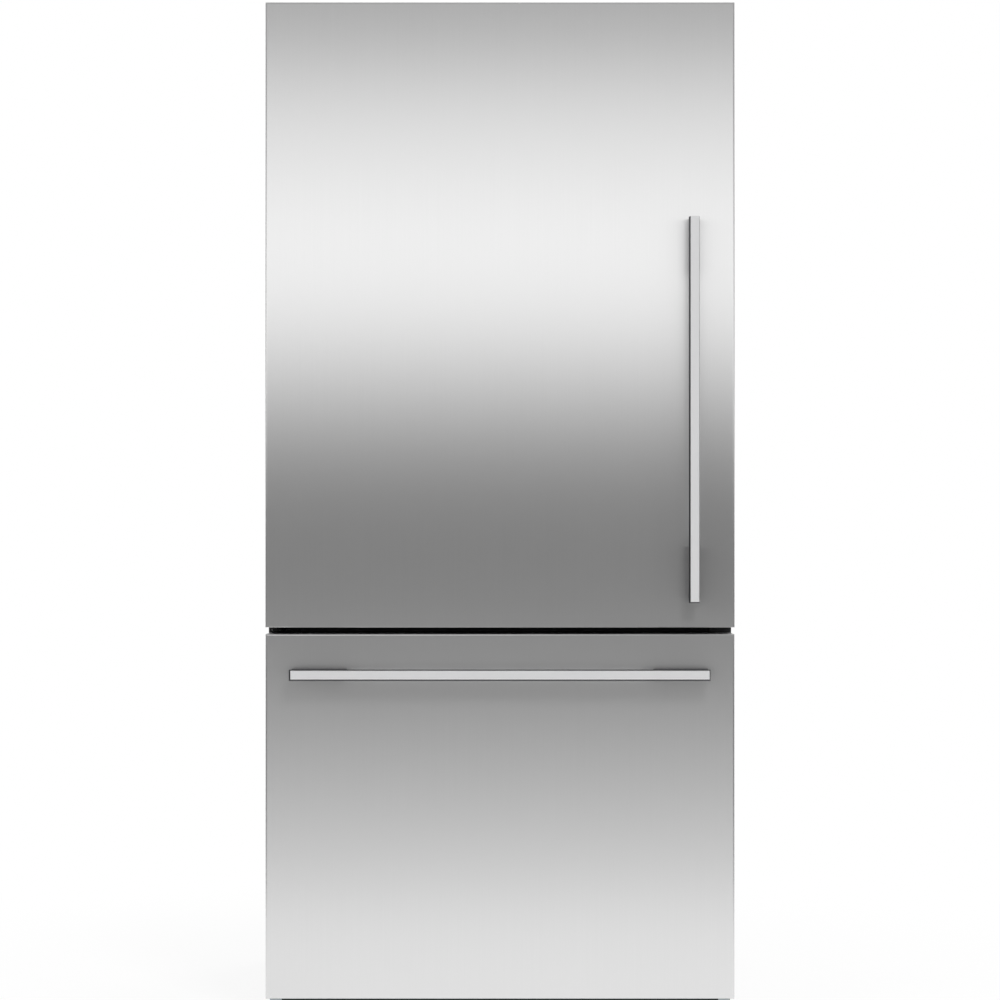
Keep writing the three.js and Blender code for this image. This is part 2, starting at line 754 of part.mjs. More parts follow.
// A welded steel pot on a foot plate, with rubber feet, a terminal box and two pipe stubs.
function compressor() {
  const seam = compressorBottom + compressorHeight * bellyShare;
  const profile = [
    [0, 0], [0.62, 0], [0.86, 0.09], [0.97, 0.28], [0.97, 0.6], [1.03, 0.61],
    [1.03, 0.645], [0.97, 0.655], [0.9, 0.82], [0.68, 0.95], [0.36, 1], [0, 1],
  ].map(([r, h]) => new THREE.Vector2(r * compressorRadius, h * compressorHeight));
  const pot = new THREE.LatheGeometry(profile, 16);
  pot.rotateX(Math.PI / 2).scale(compressorStretch, 1, 1);
  pot.translate(compressorX, machineMiddle, compressorBottom - bite);
  const reachX = compressorRadius * compressorStretch;
  const plateBottom = compressorBottom - compressorPlate;
  const plate = pull(
    rectangle(compressorX - reachX, compressorX + reachX,
      machineMiddle - compressorRadius, machineMiddle + compressorRadius, mountInset),
    'z', plateBottom, compressorBottom,
  );
  const feet = [];
  for (const xSign of [-1, 1]) {
    for (const ySign of [-1, 1]) {
      const x = compressorX + xSign * (reachX - mountInset);
      const y = machineMiddle + ySign * (compressorRadius - mountInset);
      feet.push(rod([x, y, cabinetBottom], [x, y, plateBottom + bite], mountRadius, 10));
    }
  }
  const boxX = compressorX - reachX;
  const terminals = block(
    boxX - terminalReach, boxX + terminalReach, machineMiddle - terminalHalf, machineMiddle + terminalHalf,
    compressorBottom + terminalLift, seam,
  );
  const stubs = [-1, 1].map((ySign) => {
    const y = machineMiddle + ySign * stubSpread;
    const z = seam - stubSpread;
    return rod([compressorX, y, z], [compressorX + reachX + stubReach, y, z], stubRadius, 8);
  });
  return join(toSolid(pot), plate, ...feet, terminals, ...stubs);
}

// Melt-water tray that sits on the warm compressor.
function dripTray() {
  const z0 = compressorTop - bite + fit;
  const reachX = compressorRadius * compressorStretch;
  return tub({
    x: [compressorX - reachX, compressorX + reachX],
    y: [machineMiddle - compressorRadius, machineMiddle + compressorRadius],
    z: [z0, z0 + dripTrayHeight],
    radius: dripTrayCorner, draft: 4, sideRim: 2, endRim: 2,
  });
}

// A serpentine tube through a pack of plates: tubes lie along X, and the end plates stand lower.
function finnedCoil({ x, y, z, rows, fins, tubeRadius, finThickness, legs }) {
  const pitch = (z[1] - z[0]) / rows;
  const middle = (y[0] + y[1]) / 2;
  const bend = pitch / 2;
  const path = new THREE.CurvePath();
  for (let row = 0; row < rows; row += 1) {
    const level = z[0] + pitch * (row + 0.5);
    const [from, to] = row % 2 === 0 ? x : [x[1], x[0]];
    path.add(new THREE.LineCurve3(
      new THREE.Vector3(from, middle, level), new THREE.Vector3(to, middle, level),
    ));
    if (row < rows - 1) {
      const outward = Math.sign(to - from);
      const steps = 4;
      const arc = (i) => new THREE.Vector3(
        to + outward * bend * Math.sin((Math.PI * i) / steps), middle,
        level + bend - bend * Math.cos((Math.PI * i) / steps),
      );
      for (let i = 0; i < steps; i += 1) path.add(new THREE.LineCurve3(arc(i), arc(i + 1)));
    }
  }
  const points = path.curves.flatMap((curve, i) => (i === 0 ? [curve.v1, curve.v2] : [curve.v2]));
  const coil = sweptTube(points, tubeRadius, 6);
  const plates = [];
  for (let i = 0; i < fins; i += 1) {
    const at = x[0] + ((x[1] - x[0]) * i) / (fins - 1);
    const isEnd = i === 0 || i === fins - 1;
    const low = isEnd ? legs : z[0];
    plates.push(block(at - finThickness / 2, at + finThickness / 2, y[0], y[1], low, z[1]));
  }
  return join(coil, ...plates);
}

// A closed tube through points that all lie in one X-Z plane, with mitred bends.
function sweptTube(points, radius, sides) {
  const positions = [];
  const triangles = [];
  points.forEach((point, i) => {
    const before = point.clone().sub(points[Math.max(i - 1, 0)]).normalize();
    const after = points[Math.min(i + 1, points.length - 1)].clone().sub(point).normalize();
    const along = before.clone().add(after).normalize();
    const across = new THREE.Vector3().crossVectors(yAxis, along);
    const reference = i === 0 ? after : before;
    const stretch = 1 / Math.max(along.dot(reference), 0.5);
    for (let side = 0; side < sides; side += 1) {
      const turn = (2 * Math.PI * side) / sides;
      const offset = across.clone().multiplyScalar(radius * stretch * Math.cos(turn));
      offset.addScaledVector(yAxis, radius * Math.sin(turn)).add(point);
      positions.push(offset.x, offset.y, offset.z);
    }
  });
  const ring = (i, side) => i * sides + (side % sides);
  for (let i = 0; i < points.length - 1; i += 1) {
    for (let side = 0; side < sides; side += 1) {
      triangles.push(ring(i, side), ring(i, side + 1), ring(i + 1, side));
      triangles.push(ring(i, side + 1), ring(i + 1, side + 1), ring(i + 1, side));
    }
  }
  const last = points.length - 1;
  for (let side = 1; side < sides - 1; side += 1) {
    triangles.push(ring(0, 0), ring(0, side + 1), ring(0, side));
    triangles.push(ring(last, 0), ring(last, side), ring(last, side + 1));
  }
  const geometry = new THREE.BufferGeometry();
  geometry.setAttribute('position', new THREE.Float32BufferAttribute(positions, 3));
  geometry.setIndex(triangles);
  return toSolid(geometry);
}

const condenserInset = 45; // from the cabinet's left side
const condenserLength = 245;
const condenserX = [-half + condenserInset, -half + condenserInset + condenserLength];
const condenserHalf = 45; // half its depth
const condenserLift = 14;
const condenserHeight = 150;
const shroudSpace = 43; // from the condenser
const shroudX = condenserX[1] + shroudSpace;
const shroudThickness = 3;
const fanRadius = 68;
const fanLevel = cabinetBottom + 92;
const motorRadius = 19;
const motorLength = 20;
const shaftRadius = 2.5;
const hubRadius = 17;
const hubLength = 16;
const hubWall = 3;
const rootPitch = 42; // degrees, where a blade leaves its hub
const tipPitch = 24;
const bladeShare = 0.52; // blade chord to fan radius, and root chord to tip chord
const bladeThickness = 2;
const shaftReach = hubLength - hubWall - 1; // how far a motor's shaft goes into its hub
const mouthClearance = 6; // round the blades
const shroudMargin = 8;
const armWidth = 8;

const condenser = finnedCoil({
  x: condenserX,
  y: [machineMiddle - condenserHalf, machineMiddle + condenserHalf],
  z: [cabinetBottom + condenserLift, cabinetBottom + condenserLift + condenserHeight],
  rows: 5, fins: 6, tubeRadius: 4, finThickness: 1, legs: cabinetBottom,
});

// Turns a flat blade about its length, steeply at the root and less towards the tip.
function twist(blade, root, tip) {
  const position = blade.attributes.position;
  for (let i = 0; i < position.count; i += 1) {
    const share = (position.getX(i) - root) / (tip - root);
    const pitch = THREE.MathUtils.degToRad(THREE.MathUtils.lerp(rootPitch, tipPitch, share));
    const y = position.getY(i);
    const z = position.getZ(i);
    position.setY(i, y * Math.cos(pitch) - z * Math.sin(pitch));
    position.setZ(i, y * Math.sin(pitch) + z * Math.cos(pitch));
  }
}

// An axial fan: a hub with a blind bore, and blades whose pitch eases towards their tips.
function axialFan(centre, direction, tipRadius, bladeCount) {
  const turnToAxis = new THREE.Quaternion().setFromUnitVectors(zAxis, new THREE.Vector3(...direction));
  const tipChord = tipRadius * bladeShare;
  const rootChord = tipChord * bladeShare;
  const root = hubRadius / 2;
  const blades = [];
  for (let i = 0; i < bladeCount; i += 1) {
    const shape = outline([
      [root, -rootChord / 2], [tipRadius * 0.9, -tipChord / 2, tipChord / 4],
      [tipRadius * 0.96, tipChord / 2, tipChord / 4], [root, rootChord / 2],
    ]);
    const settings = { depth: bladeThickness, bevelEnabled: false, curveSegments: 3 };
    const blade = new THREE.ExtrudeGeometry(shape, settings);
    twist(blade.translate(0, 0, -bladeThickness / 2), root, tipRadius);
    blade.rotateZ((2 * Math.PI * i) / bladeCount);
    blade.applyQuaternion(turnToAxis).translate(...centre);
    blades.push(toSolid(blade));
  }
  const along = new THREE.Vector3(...direction);
  const point = (distance) => along.clone().multiplyScalar(distance).add(new THREE.Vector3(...centre));
  const hub = rod(point(-hubLength / 2).toArray(), point(hubLength / 2).toArray(), hubRadius, 18);
  const bore = rod(
    point(-hubLength / 2 - bite).toArray(), point(hubLength / 2 - hubWall).toArray(),
    shaftRadius + fit, 10,
  );
  return cut(join(hub, ...blades), bore);
}

const condenserFanX = shroudX + shroudThickness + motorLength + fit + hubLength / 2;

// A shroud plate with a round mouth; three arms across it hold the motor and its shaft.
function fanMotor() {
  const reach = machineDepth / 2 - shroudMargin;
  const x1 = shroudX + shroudThickness;
  const mouth = fanRadius + mouthClearance;
  const face = rectangle(
    machineMiddle - reach, machineMiddle + reach, cabinetBottom, machineTop - shroudMargin, 6,
  );
  const plate = cut(
    pull(face, 'x', shroudX, x1),
    rod([shroudX - 1, machineMiddle, fanLevel], [x1 + 1, machineMiddle, fanLevel], mouth, 32),
  );
  const arms = [90, 210, 330].map((degrees) => {
    const turn = THREE.MathUtils.degToRad(degrees);
    const arm = new THREE.BoxGeometry(shroudThickness, armWidth, mouth + beyond);
    arm.translate(0, 0, (mouth + beyond) / 2).rotateX(turn);
    arm.translate(shroudX + shroudThickness / 2, machineMiddle, fanLevel);
    return toSolid(arm);
  });
  const motor = rod(
    [shroudX, machineMiddle, fanLevel], [x1 + motorLength, machineMiddle, fanLevel], motorRadius, 18,
  );
  const shaft = rod(
    [x1, machineMiddle, fanLevel],
    [condenserFanX - hubLength / 2 + shaftReach, machineMiddle, fanLevel],
    shaftRadius, 10,
  );
  return join(plate, ...arms, motor, shaft);
}

const rearColumns = 9;
const rearMargin = 60; // outer slots from the cover's ends
const rearSlot = [5, 32]; // half the width and half the height of a slot

function rearCover() {
  const slots = [];
  for (let column = 0; column < rearColumns; column += 1) {
    const x = (innerHalf - rearMargin) * ((2 * column) / (rearColumns - 1) - 1);
    for (const level of twoRows) {
      const z = cabinetBottom + level * machineHeight;
      const slot = rectangle(x - rearSlot[0], x + rearSlot[0], z - rearSlot[1], z + rearSlot[1]);
      slots.push(pull(slot, 'y', baseBack - beyond, cabinetBack + beyond));
    }
  }
  const face = rectangle(-innerHalf, innerHalf, cabinetBottom, machineTop - fit);
  return cut(pull(face, 'y', baseBack + fit, cabinetBack), ...slots);
}

add(cabinet, 'compressor', compressor(), ...blackSteel);
add(cabinet, 'drip_tray', dripTray(), ...blackSteel);
add(cabinet, 'condenser', condenser, ...blackSteel);
add(cabinet, 'condenser_fan_motor', fanMotor(), ...blackSteel);
add(cabinet, 'rear_cover', rearCover(), ...galvanised);

const condenserFan = groupAt(condenserFanX, machineMiddle, fanLevel);
const condenserFanSolid = axialFan([condenserFanX, machineMiddle, fanLevel], [1, 0, 0], fanRadius, 5);
add(condenserFan, 'condenser_fan', condenserFanSolid, ...greyPlastic);

// ---- Evaporator, its fan and its cover ----

const coverBack = freezerBack - evaporatorSpace;
const evaporatorDepth = 36;
const evaporatorHeight = 150;
const evaporatorInset = 105; // from the freezer's side walls
const evaporatorHalf = freezerHalf - evaporatorInset;
const evaporatorLow = stepTop + linerCorner + 4;
const louvreRows = 4;
const louvrePitch = 14;
const louvreDrop = 40; // top row from the ceiling
const louvre = [85, 3]; // half the length and half the height of a louvre
const returnLift = 16;
const returnSlot = [70, 5];
const freezerFanRadius = 46;
const freezerFanLevel = freezerCeiling - 66;
const freezerFanY = coverBack + motorLength / 2 + fit + hubLength / 2;

const evaporator = finnedCoil({
  x: [-evaporatorHalf, evaporatorHalf],
  y: [freezerBack - fit - evaporatorDepth, freezerBack - fit],
  z: [evaporatorLow, evaporatorLow + evaporatorHeight],
  rows: 4, fins: 8, tubeRadius: 4, finThickness: 1, legs: evaporatorLow,
});

// The freezer's back panel: outlet louvres up high, a return slot low down, and the fan's motor behind.
function evaporatorCover() {
  const slotAt = (x, z, [halfLength, halfHeight]) => pull(
    rectangle(x - halfLength, x + halfLength, z - halfHeight, z + halfHeight),
    'y', coverBack - coverPlate - beyond, coverBack + beyond,
  );
  const slots = [-1, 0, 1].map((place) => (
    slotAt(place * freezerHalf * 0.6, stepTop + returnLift, returnSlot)
  ));
  for (let row = 0; row < louvreRows; row += 1) {
    const z = freezerCeiling - louvreDrop - row * louvrePitch;
    slots.push(slotAt(-freezerHalf * 0.55, z, louvre), slotAt(freezerHalf * 0.55, z, louvre));
  }
  const face = rectangle(
    -freezerHalf + bite, freezerHalf - bite, stepTop + fit, freezerCeiling - fit, linerCorner,
  );
  const motor = rod(
    [0, coverBack - bite, freezerFanLevel], [0, coverBack + motorLength / 2, freezerFanLevel],
    motorRadius, 18,
  );
  const shaft = rod(
    [0, coverBack, freezerFanLevel],
    [0, freezerFanY - hubLength / 2 + shaftReach, freezerFanLevel], shaftRadius, 10,
  );
  return join(cut(pull(face, 'y', coverBack - coverPlate, coverBack), ...slots), motor, shaft);
}

add(cabinet, 'evaporator', evaporator, ...aluminium);
add(cabinet, 'evaporator_cover', evaporatorCover(), ...whitePlastic);

const freezerFan = groupAt(0, freezerFanY, freezerFanLevel);
const freezerFanSolid = axialFan([0, freezerFanY, freezerFanLevel], [0, 1, 0], freezerFanRadius, 5);
add(freezerFan, 'evaporator_fan', freezerFanSolid, ...greyPlastic);

// ---- Fridge compartment: air duct, light, shelves ----

// A hollow moulding on the back wall, with vent slits beside each shelf and a control display on top.
function airDuctCover() {
  const bottom = coverTop + frameUpstand + ductMargin;
  const top = fridgeCeiling - ductMargin;
  const back = fridgeBack - fit;
  const wall = tubWall;
  const outer = pull(
    rectangle(-ductWidth / 2, ductWidth / 2, bottom, top, ductCorner), 'y', ductFront, back,
  );
  const inner = pull(
    rectangle(
      -ductWidth / 2 + wall, ductWidth / 2 - wall, bottom + wall, top - wall, ductCorner - wall,
    ),
    'y', ductFront + wall, back + beyond,
  );
  const displayTop = top - displayDrop;
  const display = pull(
    rectangle(-displayWidth / 2, displayWidth / 2, displayTop - displayHeight, displayTop, 8),
    'y', ductFront - displayProud, ductFront + bite,
  );
  const slits = [];
  for (const shelf of [shelfTops.upper, shelfTops.middle, coverTop]) {
    for (let row = 0; row < slitRows; row += 1) {
      const z = shelf + slitLift + row * slitPitch;
      for (const x of [-ductWidth * 0.28, ductWidth * 0.28]) {
        const hole = rectangle(x - slit[0], x + slit[0], z - slit[1], z + slit[1]);
        slits.push(pull(hole, 'y', ductFront - 1, ductFront + wall + 1));
      }
    }
  }
  return cut(outer, inner, ...slits).add(display);
}

function lightLens() {
  const y0 = cabinetFront + lensSetback;
  const z0 = fridgeCeiling - fit - lensHeight;
  return tapered(
    [-lensWidth / 2, lensWidth / 2], [y0, y0 + lensDepth], [z0, fridgeCeiling - fit],
    lensCorner, lensSlope,
  );
}

const frameHalf = fridgeHalf - fit;

function glassPlan(front, grow) {
  return rectangle(
    -frameHalf + frameSide - grow, frameHalf - frameSide + grow,
    front + frameFront - grow, shelfBack - frameRear + grow, glassCorner + grow,
  );
}

// A moulded frame round the glass, with a deep front edge, a lip underneath and a stop at the back.
function shelfFrame(top, front) {
  const plan = rectangle(-frameHalf, frameHalf, front, shelfBack, frameCorner);
  const stop = block(
    -frameHalf + frameCorner, frameHalf - frameCorner, shelfBack - upstandWall, shelfBack,
    top - bite, top + frameUpstand,
  );
  const frame = cut(
    pull(plan, 'z', top - frameHeight, top),
    pull(glassPlan(front, 0), 'z', top - glassThickness - fit, top + beyond),
    pull(glassPlan(front, -frameLedge), 'z', top - frameHeight - beyond, top),
  );
  return frame.add(stop);
}

function shelfGlass(top, front) {
  return pull(glassPlan(front, -fit), 'z', top - glassThickness, top);
}

// Rails under the crisper cover: one along each side and a shared one down the middle.
function crisperRails() {
  const low = ledgeTop - railWeb;
  const high = coverBottom + bite;
  const rails = [];
  for (const sideSign of [-1, 1]) {
    const wall = sideSign * frameHalf;
    const web = wall - sideSign * railWeb;
    const ledge = web - sideSign * railLedge;
    rails.push(outline([
      [wall, low], [ledge, low], [ledge, ledgeTop], [web, ledgeTop], [web, high], [wall, high],
    ]));
  }
  const inner = railWeb / 2;
  const outer = inner + railLedge;
  rails.push(outline([
    [-outer, low], [outer, low], [outer, ledgeTop], [inner, ledgeTop],
    [inner, high], [-inner, high], [-inner, ledgeTop], [-outer, ledgeTop],
  ]));
  return rails.map((profile) => pull(profile, 'y', coverFront + frameFront, shelfBack - frameRear));
}

add(cabinet, 'air_duct_cover', airDuctCover(), ...whitePlastic);
add(cabinet, 'light_lens', lightLens(), ...clearPlastic);
for (const [place, top] of Object.entries(shelfTops)) {
  add(cabinet, `shelf_frame_${place}`, shelfFrame(top, shelfFront), ...whitePlastic);
  add(cabinet, `shelf_glass_${place}`, shelfGlass(top, shelfFront), ...clearGlass);
}
const middleBar = block(
  -middleBarHalf, middleBarHalf, coverFront + frameFront - bite, shelfBack - frameRear + bite,
  coverBottom, coverTop - glassThickness - fit,
);
const crisperCoverFrame = join(shelfFrame(coverTop, coverFront), middleBar, ...crisperRails());
add(cabinet, 'crisper_cover_frame', crisperCoverFrame, ...whitePlastic);
add(cabinet, 'crisper_cover_glass', shelfGlass(coverTop, coverFront), ...clearGlass);

// ---- Crispers: two drawers whose rims slide on the rails ----

for (const [side, sideSign] of [['left', -1], ['right', 1]]) {
  const rimNear = railWeb / 2 + fit;
  const rimFar = frameHalf - railWeb - fit;
  const bodyNear = rimNear + railLedge + fit;
  const bodyFar = rimFar - railLedge - fit;
  const x = ordered(sideSign * bodyNear, sideSign * bodyFar);
  const y = [coverFront + crisperFrontGap, shelfBack - frameRear];
  const top = ledgeTop + fit + tubRim;
  const body = tub({
    x, y, z: [fridgeFloor + crisperClearance, top],
    radius: crisperCorner, draft: crisperDraft, sideRim: railLedge, endRim: 0,
  });
  const grip = pull(outline([
    [y[0] + gripRoot, top - gripHeight], [y[0] - gripReach / 2, top - gripHeight],
    [y[0] - gripReach, top], [y[0] + gripRoot, top],
  ]), 'x', x[0] + crisperCorner, x[1] - crisperCorner);
  const crisper = groupAt((x[0] + x[1]) / 2, y[0], fridgeFloor);
  add(crisper, `crisper_${side}`, body.add(grip), ...clearPlastic);
}

// ---- Door and drawer front: skin, foam, inner liner and seal ----

const pocketRight = hingeX + pocketReach;
const pocketFront = hingeY - bracketArm - pocketReach;

// The recess for the upper hinge arm, open to the side, the back and the top.
function hingePocket(grow) {
  return block(
    -half - beyond, pocketRight + grow, pocketFront - grow, panelBack + beyond,
    doorTop - pocketDepth - grow, doorTop + beyond,
  );
}

// A slab whose front edges are rounded, from the skin's face to the panel's back.
function softSlab(inset, bottom, top, radius) {
  const shape = rectangle(
    -half + inset + radius, half - inset - radius, bottom + inset + radius, top - inset - radius,
  );
  const front = panelFront + inset;
  const settings = {
    depth: panelDepth, bevelSize: radius, bevelThickness: radius, bevelSegments: 3,
  };
  const geometry = new THREE.ExtrudeGeometry(shape, settings);
  geometry.applyMatrix4(drawnInXZ).translate(0, front + panelDepth + radius, 0);
  const behind = block(
    -half - beyond, half + beyond, panelBack, panelBack + panelDepth, bottom - beyond, top + beyond,
  );
  return cut(toSolid(geometry), behind);
}

function panelSkin(bottom, top) {
  const hollow = softSlab(sheet, bottom, top, edgeRadius - sheet);
  const opening = block(
    -half + sheet, half - sheet, panelBack - panelDepth / 2, panelBack + beyond,
    bottom + sheet, top - sheet,
  );
  return { outer: softSlab(0, bottom, top, edgeRadius), hollow: hollow.add(opening) };
}

function dykeRing(dyke, grow, back, innerCorner = dykeInnerCorner - grow) {
  const { x, bottom, top, reach } = dyke;
  const outer = rectangle(-x - grow, x + grow, bottom - grow, top + grow, dykeCorner + grow);
  const near = x - dykeWidth;
  const inner = rectangle(
    -near + grow, near - grow, bottom + dykeWidth + grow, top - dykeWidth - grow,
    innerCorner,
  );
  const tip = panelBack + reach + grow;
  return cut(
    pull(outer, 'y', back, tip),
    pull(inner, 'y', back - beyond, tip + beyond),
  );
}

function panelFoam(bottom, top, dyke) {
  const inset = sheet + fit;
  const slab = softSlab(inset, bottom, top, edgeRadius - sheet);
  const behind = block(
    -half, half, panelBack - linerWall - fit, panelBack + beyond, bottom - beyond, top + beyond,
  );
  const ring = dykeRing(
    dyke, -linerWall - fit, panelBack - linerWall - fit - bite, foamInnerCorner,
  );
  return cut(slab, behind).add(ring);
}

function panelLiner(bottom, top, dyke) {
  const inset = sheet + fit;
  const plate = pull(
    rectangle(-half + inset, half - inset, bottom + inset, top - inset),
    'y', panelBack - linerWall, panelBack,
  );
  const hollow = dykeRing(dyke, -linerWall, panelBack - linerWall - beyond);
  return cut(plate.add(dykeRing(dyke, 0, panelBack - bite)), hollow);
}

// The seal is a base strip, a thin bellows and the magnet strip that meets the cabinet.
function panelSeal(bottom, top) {
  const outer = half - sealInset;
  const front = panelBack + fit;
  const back = cabinetFront - fit;
  const ring = (inset, corner) => rectangle(
    -outer + inset, outer - inset, bottom + inset, top - inset, corner,
  );
  const band = (inset, y0, y1) => cut(
    pull(ring(inset, sealCorner), 'y', y0, y1, 2),
    pull(ring(sealWidth - inset, sealInnerCorner), 'y', y0 - beyond, y1 + beyond, 2),
  );
  return join(
    band(0, front, front + sealBase),
    band(bellowsInset, front + sealBase - bite, back - magnetDepth + bite),
    band(bite, back - magnetDepth, back),
  );
}

const postFront = barFront + barDepth + fit;
const postBack = panelFront - fit;

// ---- Door ----

const door = groupAt(hingeX, hingeY, doorBottom);
const doorDykeShape = {
  x: fridgeHalf - dykeClearance,
  bottom: fridgeFloor + dykeClearance,
  top: fridgeCeiling - dykeClearance,
  reach: doorDyke,
};
const doorPinHoles = [
  rod([hingeX, hingeY, doorBottom - beyond], [hingeX, hingeY, doorBottom + pinLength], pinRadius + fit),
  rod(
    [hingeX, hingeY, bracketBottom - pinLength - pinSpare], [hingeX, hingeY, doorTop - pocketDepth + beyond],
    pinRadius + fit,
  ),
];

function doorSkin() {
  const { outer, hollow } = panelSkin(doorBottom, doorTop);
  const lining = cut(hollow, hingePocket(sheet));
  return cut(outer, hingePocket(0), lining, ...doorPinHoles);
}

function doorFoam() {
  return cut(panelFoam(doorBottom, doorTop, doorDykeShape), hingePocket(sheet + fit), ...doorPinHoles);
}

const doorShelfHalf = doorDykeShape.x - dykeWidth - 1;
const doorShelves = {
  bottle_shelf: { level: doorDykeShape.bottom + dykeWidth + bottleShelfLift, height: bottleShelfHeight },
  door_shelf: { level: doorBottom + middleShelfLevel, height: middleShelfHeight },
  dairy_shelf: { level: doorBottom + dairyLevel, height: dairyHeight },
};

// The inner liner stands up in a rim, with a lug under each end of every shelf.
function doorLiner() {
  const lugs = [];
  for (const { level } of Object.values(doorShelves)) {
    for (const sideSign of [-1, 1]) {
      const wall = sideSign * (doorDykeShape.x - dykeWidth + bite);
      const edge = wall - sideSign * (lugDepth + bite);
      const profile = outline([
        [wall, level - fit - lugHeight], [edge, level - fit - lugHeight / 2],
        [edge, level - fit], [wall, level - fit],
      ]);
      lugs.push(pull(profile, 'y', panelBack - bite, panelBack + doorDyke - lugSetback));
    }
  }
  const liner = cut(panelLiner(doorBottom, doorTop, doorDykeShape), hingePocket(sheet + fit));
  return join(liner, ...lugs);
}

add(door, 'door_skin', doorSkin(), ...stainless);
add(door, 'door_foam', doorFoam(), ...foamYellow);
add(door, 'door_liner', doorLiner(), ...whitePlastic);
const doorSeal = panelSeal(doorBottom + sealInsetGap, cabinetTop - doorSealDrop);
add(door, 'door_gasket', doorSeal, ...sealGrey);

const doorBarX = half - doorBarInset;
const doorBarLow = doorBottom + doorBarLift;
const doorBarHigh = doorBarLow + doorBarLength;
const barHalf = barWidth / 2;
const doorBar = rectangle(doorBarX - barHalf, doorBarX + barHalf, barFront, barFront + barDepth, barEdge);
add(door, 'door_handle_bar', pull(doorBar, 'z', doorBarLow, doorBarHigh, 2), ...satinSteel);
for (const [place, low] of [['lower', doorBarLow], ['upper', doorBarHigh - postLength]]) {
  const plan = rectangle(doorBarX - barHalf, doorBarX + barHalf, postFront, postBack, barEdge);
  add(door, `door_handle_post_${place}`, pull(plan, 'z', low, low + postLength, 2), ...satinSteel);
}

const shelfY = [panelBack + fit, panelBack + doorShelfReach];
const lidY = panelBack + lidPinInset;
for (const [name, { level, height }] of Object.entries(doorShelves)) {
  let shelf = tub({
    x: [-doorShelfHalf, doorShelfHalf], y: shelfY, z: [level, level + height],
    radius: shelfCorner, draft: 0, sideRim: 0, endRim: 0,
  });
  if (name === 'dairy_shelf') shelf = shelf.add(dairyCheeks(level + height));
  add(door, name, shelf, ...clearPlastic);
}

// The dairy shelf's end walls rise to the lid's pins, with a hole for each.
function dairyCheeks(top) {
  const pinLevel = top + dairyCheek - lidPinInset;
  const cheeks = [-1, 1].map((sideSign) => {
    const outer = sideSign * doorShelfHalf;
    const inner = outer - sideSign * tubWall;
    const profile = outline([
      [shelfY[0], top - cheekRoot], [shelfY[1] - cheekSetback, top - cheekRoot],
      [shelfY[0] + cheekTip, top + dairyCheek, cheekBend], [shelfY[0], top + dairyCheek],
    ]);
    return pull(profile, 'x', ...ordered(outer, inner));
  });
  const holes = rod(
    [-doorShelfHalf - 1, lidY, pinLevel], [doorShelfHalf + 1, lidY, pinLevel], lidPinRadius + fit,
  );
  return join(...cheeks).subtract(holes);
}

// ---- Dairy lid: a flap on two pins ----

const dairyTop = doorBottom + dairyLevel + dairyHeight;
const lidPinLevel = dairyTop + dairyCheek - lidPinInset;
const lid = groupAt(0, lidY, lidPinLevel, door);

// An angled flap: its top runs forward from the pins, and its front hangs down to the shelf.
function dairyLid() {
  const reach = doorShelfHalf - tubWall - lidSideGap;
  const front = shelfY[1] - lidSetback;
  const back = lidY - lidPinRadius;
  const high = lidPinLevel + lidPinInset - lidPinRadius;
  const low = dairyTop + lidSetback;
  const shell = outline([
    [front, low], [front, high, lidBend], [back, high], [back, high - lidWall],
    [front - lidWall, high - lidWall, lidBend - lidWall], [front - lidWall, low],
  ]);
  const eye = outline([
    [back, lidPinLevel - eyeReach, 3], [lidY + eyeReach, lidPinLevel - eyeReach, 3],
    [lidY + eyeReach * 3, high - bite], [back, high - bite],
  ]);
  const pieces = [];
  for (const sideSign of [-1, 1]) {
    const outer = sideSign * reach;
    const inner = outer - sideSign * eyeWidth;
    pieces.push(pull(eye, 'x', ...ordered(outer, inner)));
    const pinEnd = sideSign * (doorShelfHalf - fit);
    pieces.push(rod([inner, lidY, lidPinLevel], [pinEnd, lidY, lidPinLevel], lidPinRadius));
  }
  return join(pull(shell, 'x', -reach, reach, 6), ...pieces);
}

add(lid, 'dairy_lid', dairyLid(), ...clearPlastic);

// ---- Freezer drawer ----

const drawer = groupAt(0, panelFront, drawerBottom);
const drawerSealBottom = cabinetBottom + sealLift;
const drawerDykeShape = {
  x: freezerHalf - drawerDykeInset,
  bottom: freezerFloor + dykeClearance,
  top: freezerCeiling - dykeClearance,
  reach: drawerDyke,
};

function drawerSkin() {
  const { outer, hollow } = panelSkin(drawerBottom, drawerTop);
  return cut(outer, hollow);
}

add(drawer, 'drawer_skin', drawerSkin(), ...stainless);
add(drawer, 'drawer_foam', panelFoam(drawerBottom, drawerTop, drawerDykeShape), ...foamYellow);
add(drawer, 'drawer_liner', panelLiner(drawerBottom, drawerTop, drawerDykeShape), ...whitePlastic);
add(drawer, 'drawer_gasket', panelSeal(drawerSealBottom, drawerTop - sealInsetGap), ...sealGrey);

const drawerBarZ = drawerTop - drawerBarDrop;
const drawerBarHalf = half - drawerBarInset;
const drawerBar = rectangle(
  barFront, barFront + barDepth, drawerBarZ - barHalf, drawerBarZ + barHalf, barEdge,
);
add(drawer, 'drawer_handle_bar', pull(drawerBar, 'x', -drawerBarHalf, drawerBarHalf, 2), ...satinSteel);
for (const [side, low] of [['left', -drawerBarHalf], ['right', drawerBarHalf - postLength]]) {
  const section = rectangle(postFront, postBack, drawerBarZ - barHalf, drawerBarZ + barHalf, barEdge);
  add(drawer, `drawer_handle_post_${side}`, pull(section, 'x', low, low + postLength, 2), ...satinSteel);
}

// ---- Telescopic runners: outer member on the wall, middle member, inner member on the drawer ----

const runnerZ = freezerFloor + runnerLevel;
const runnerY = [cabinetFront + runnerSetback, cabinetFront + runnerSetback + runnerLength];

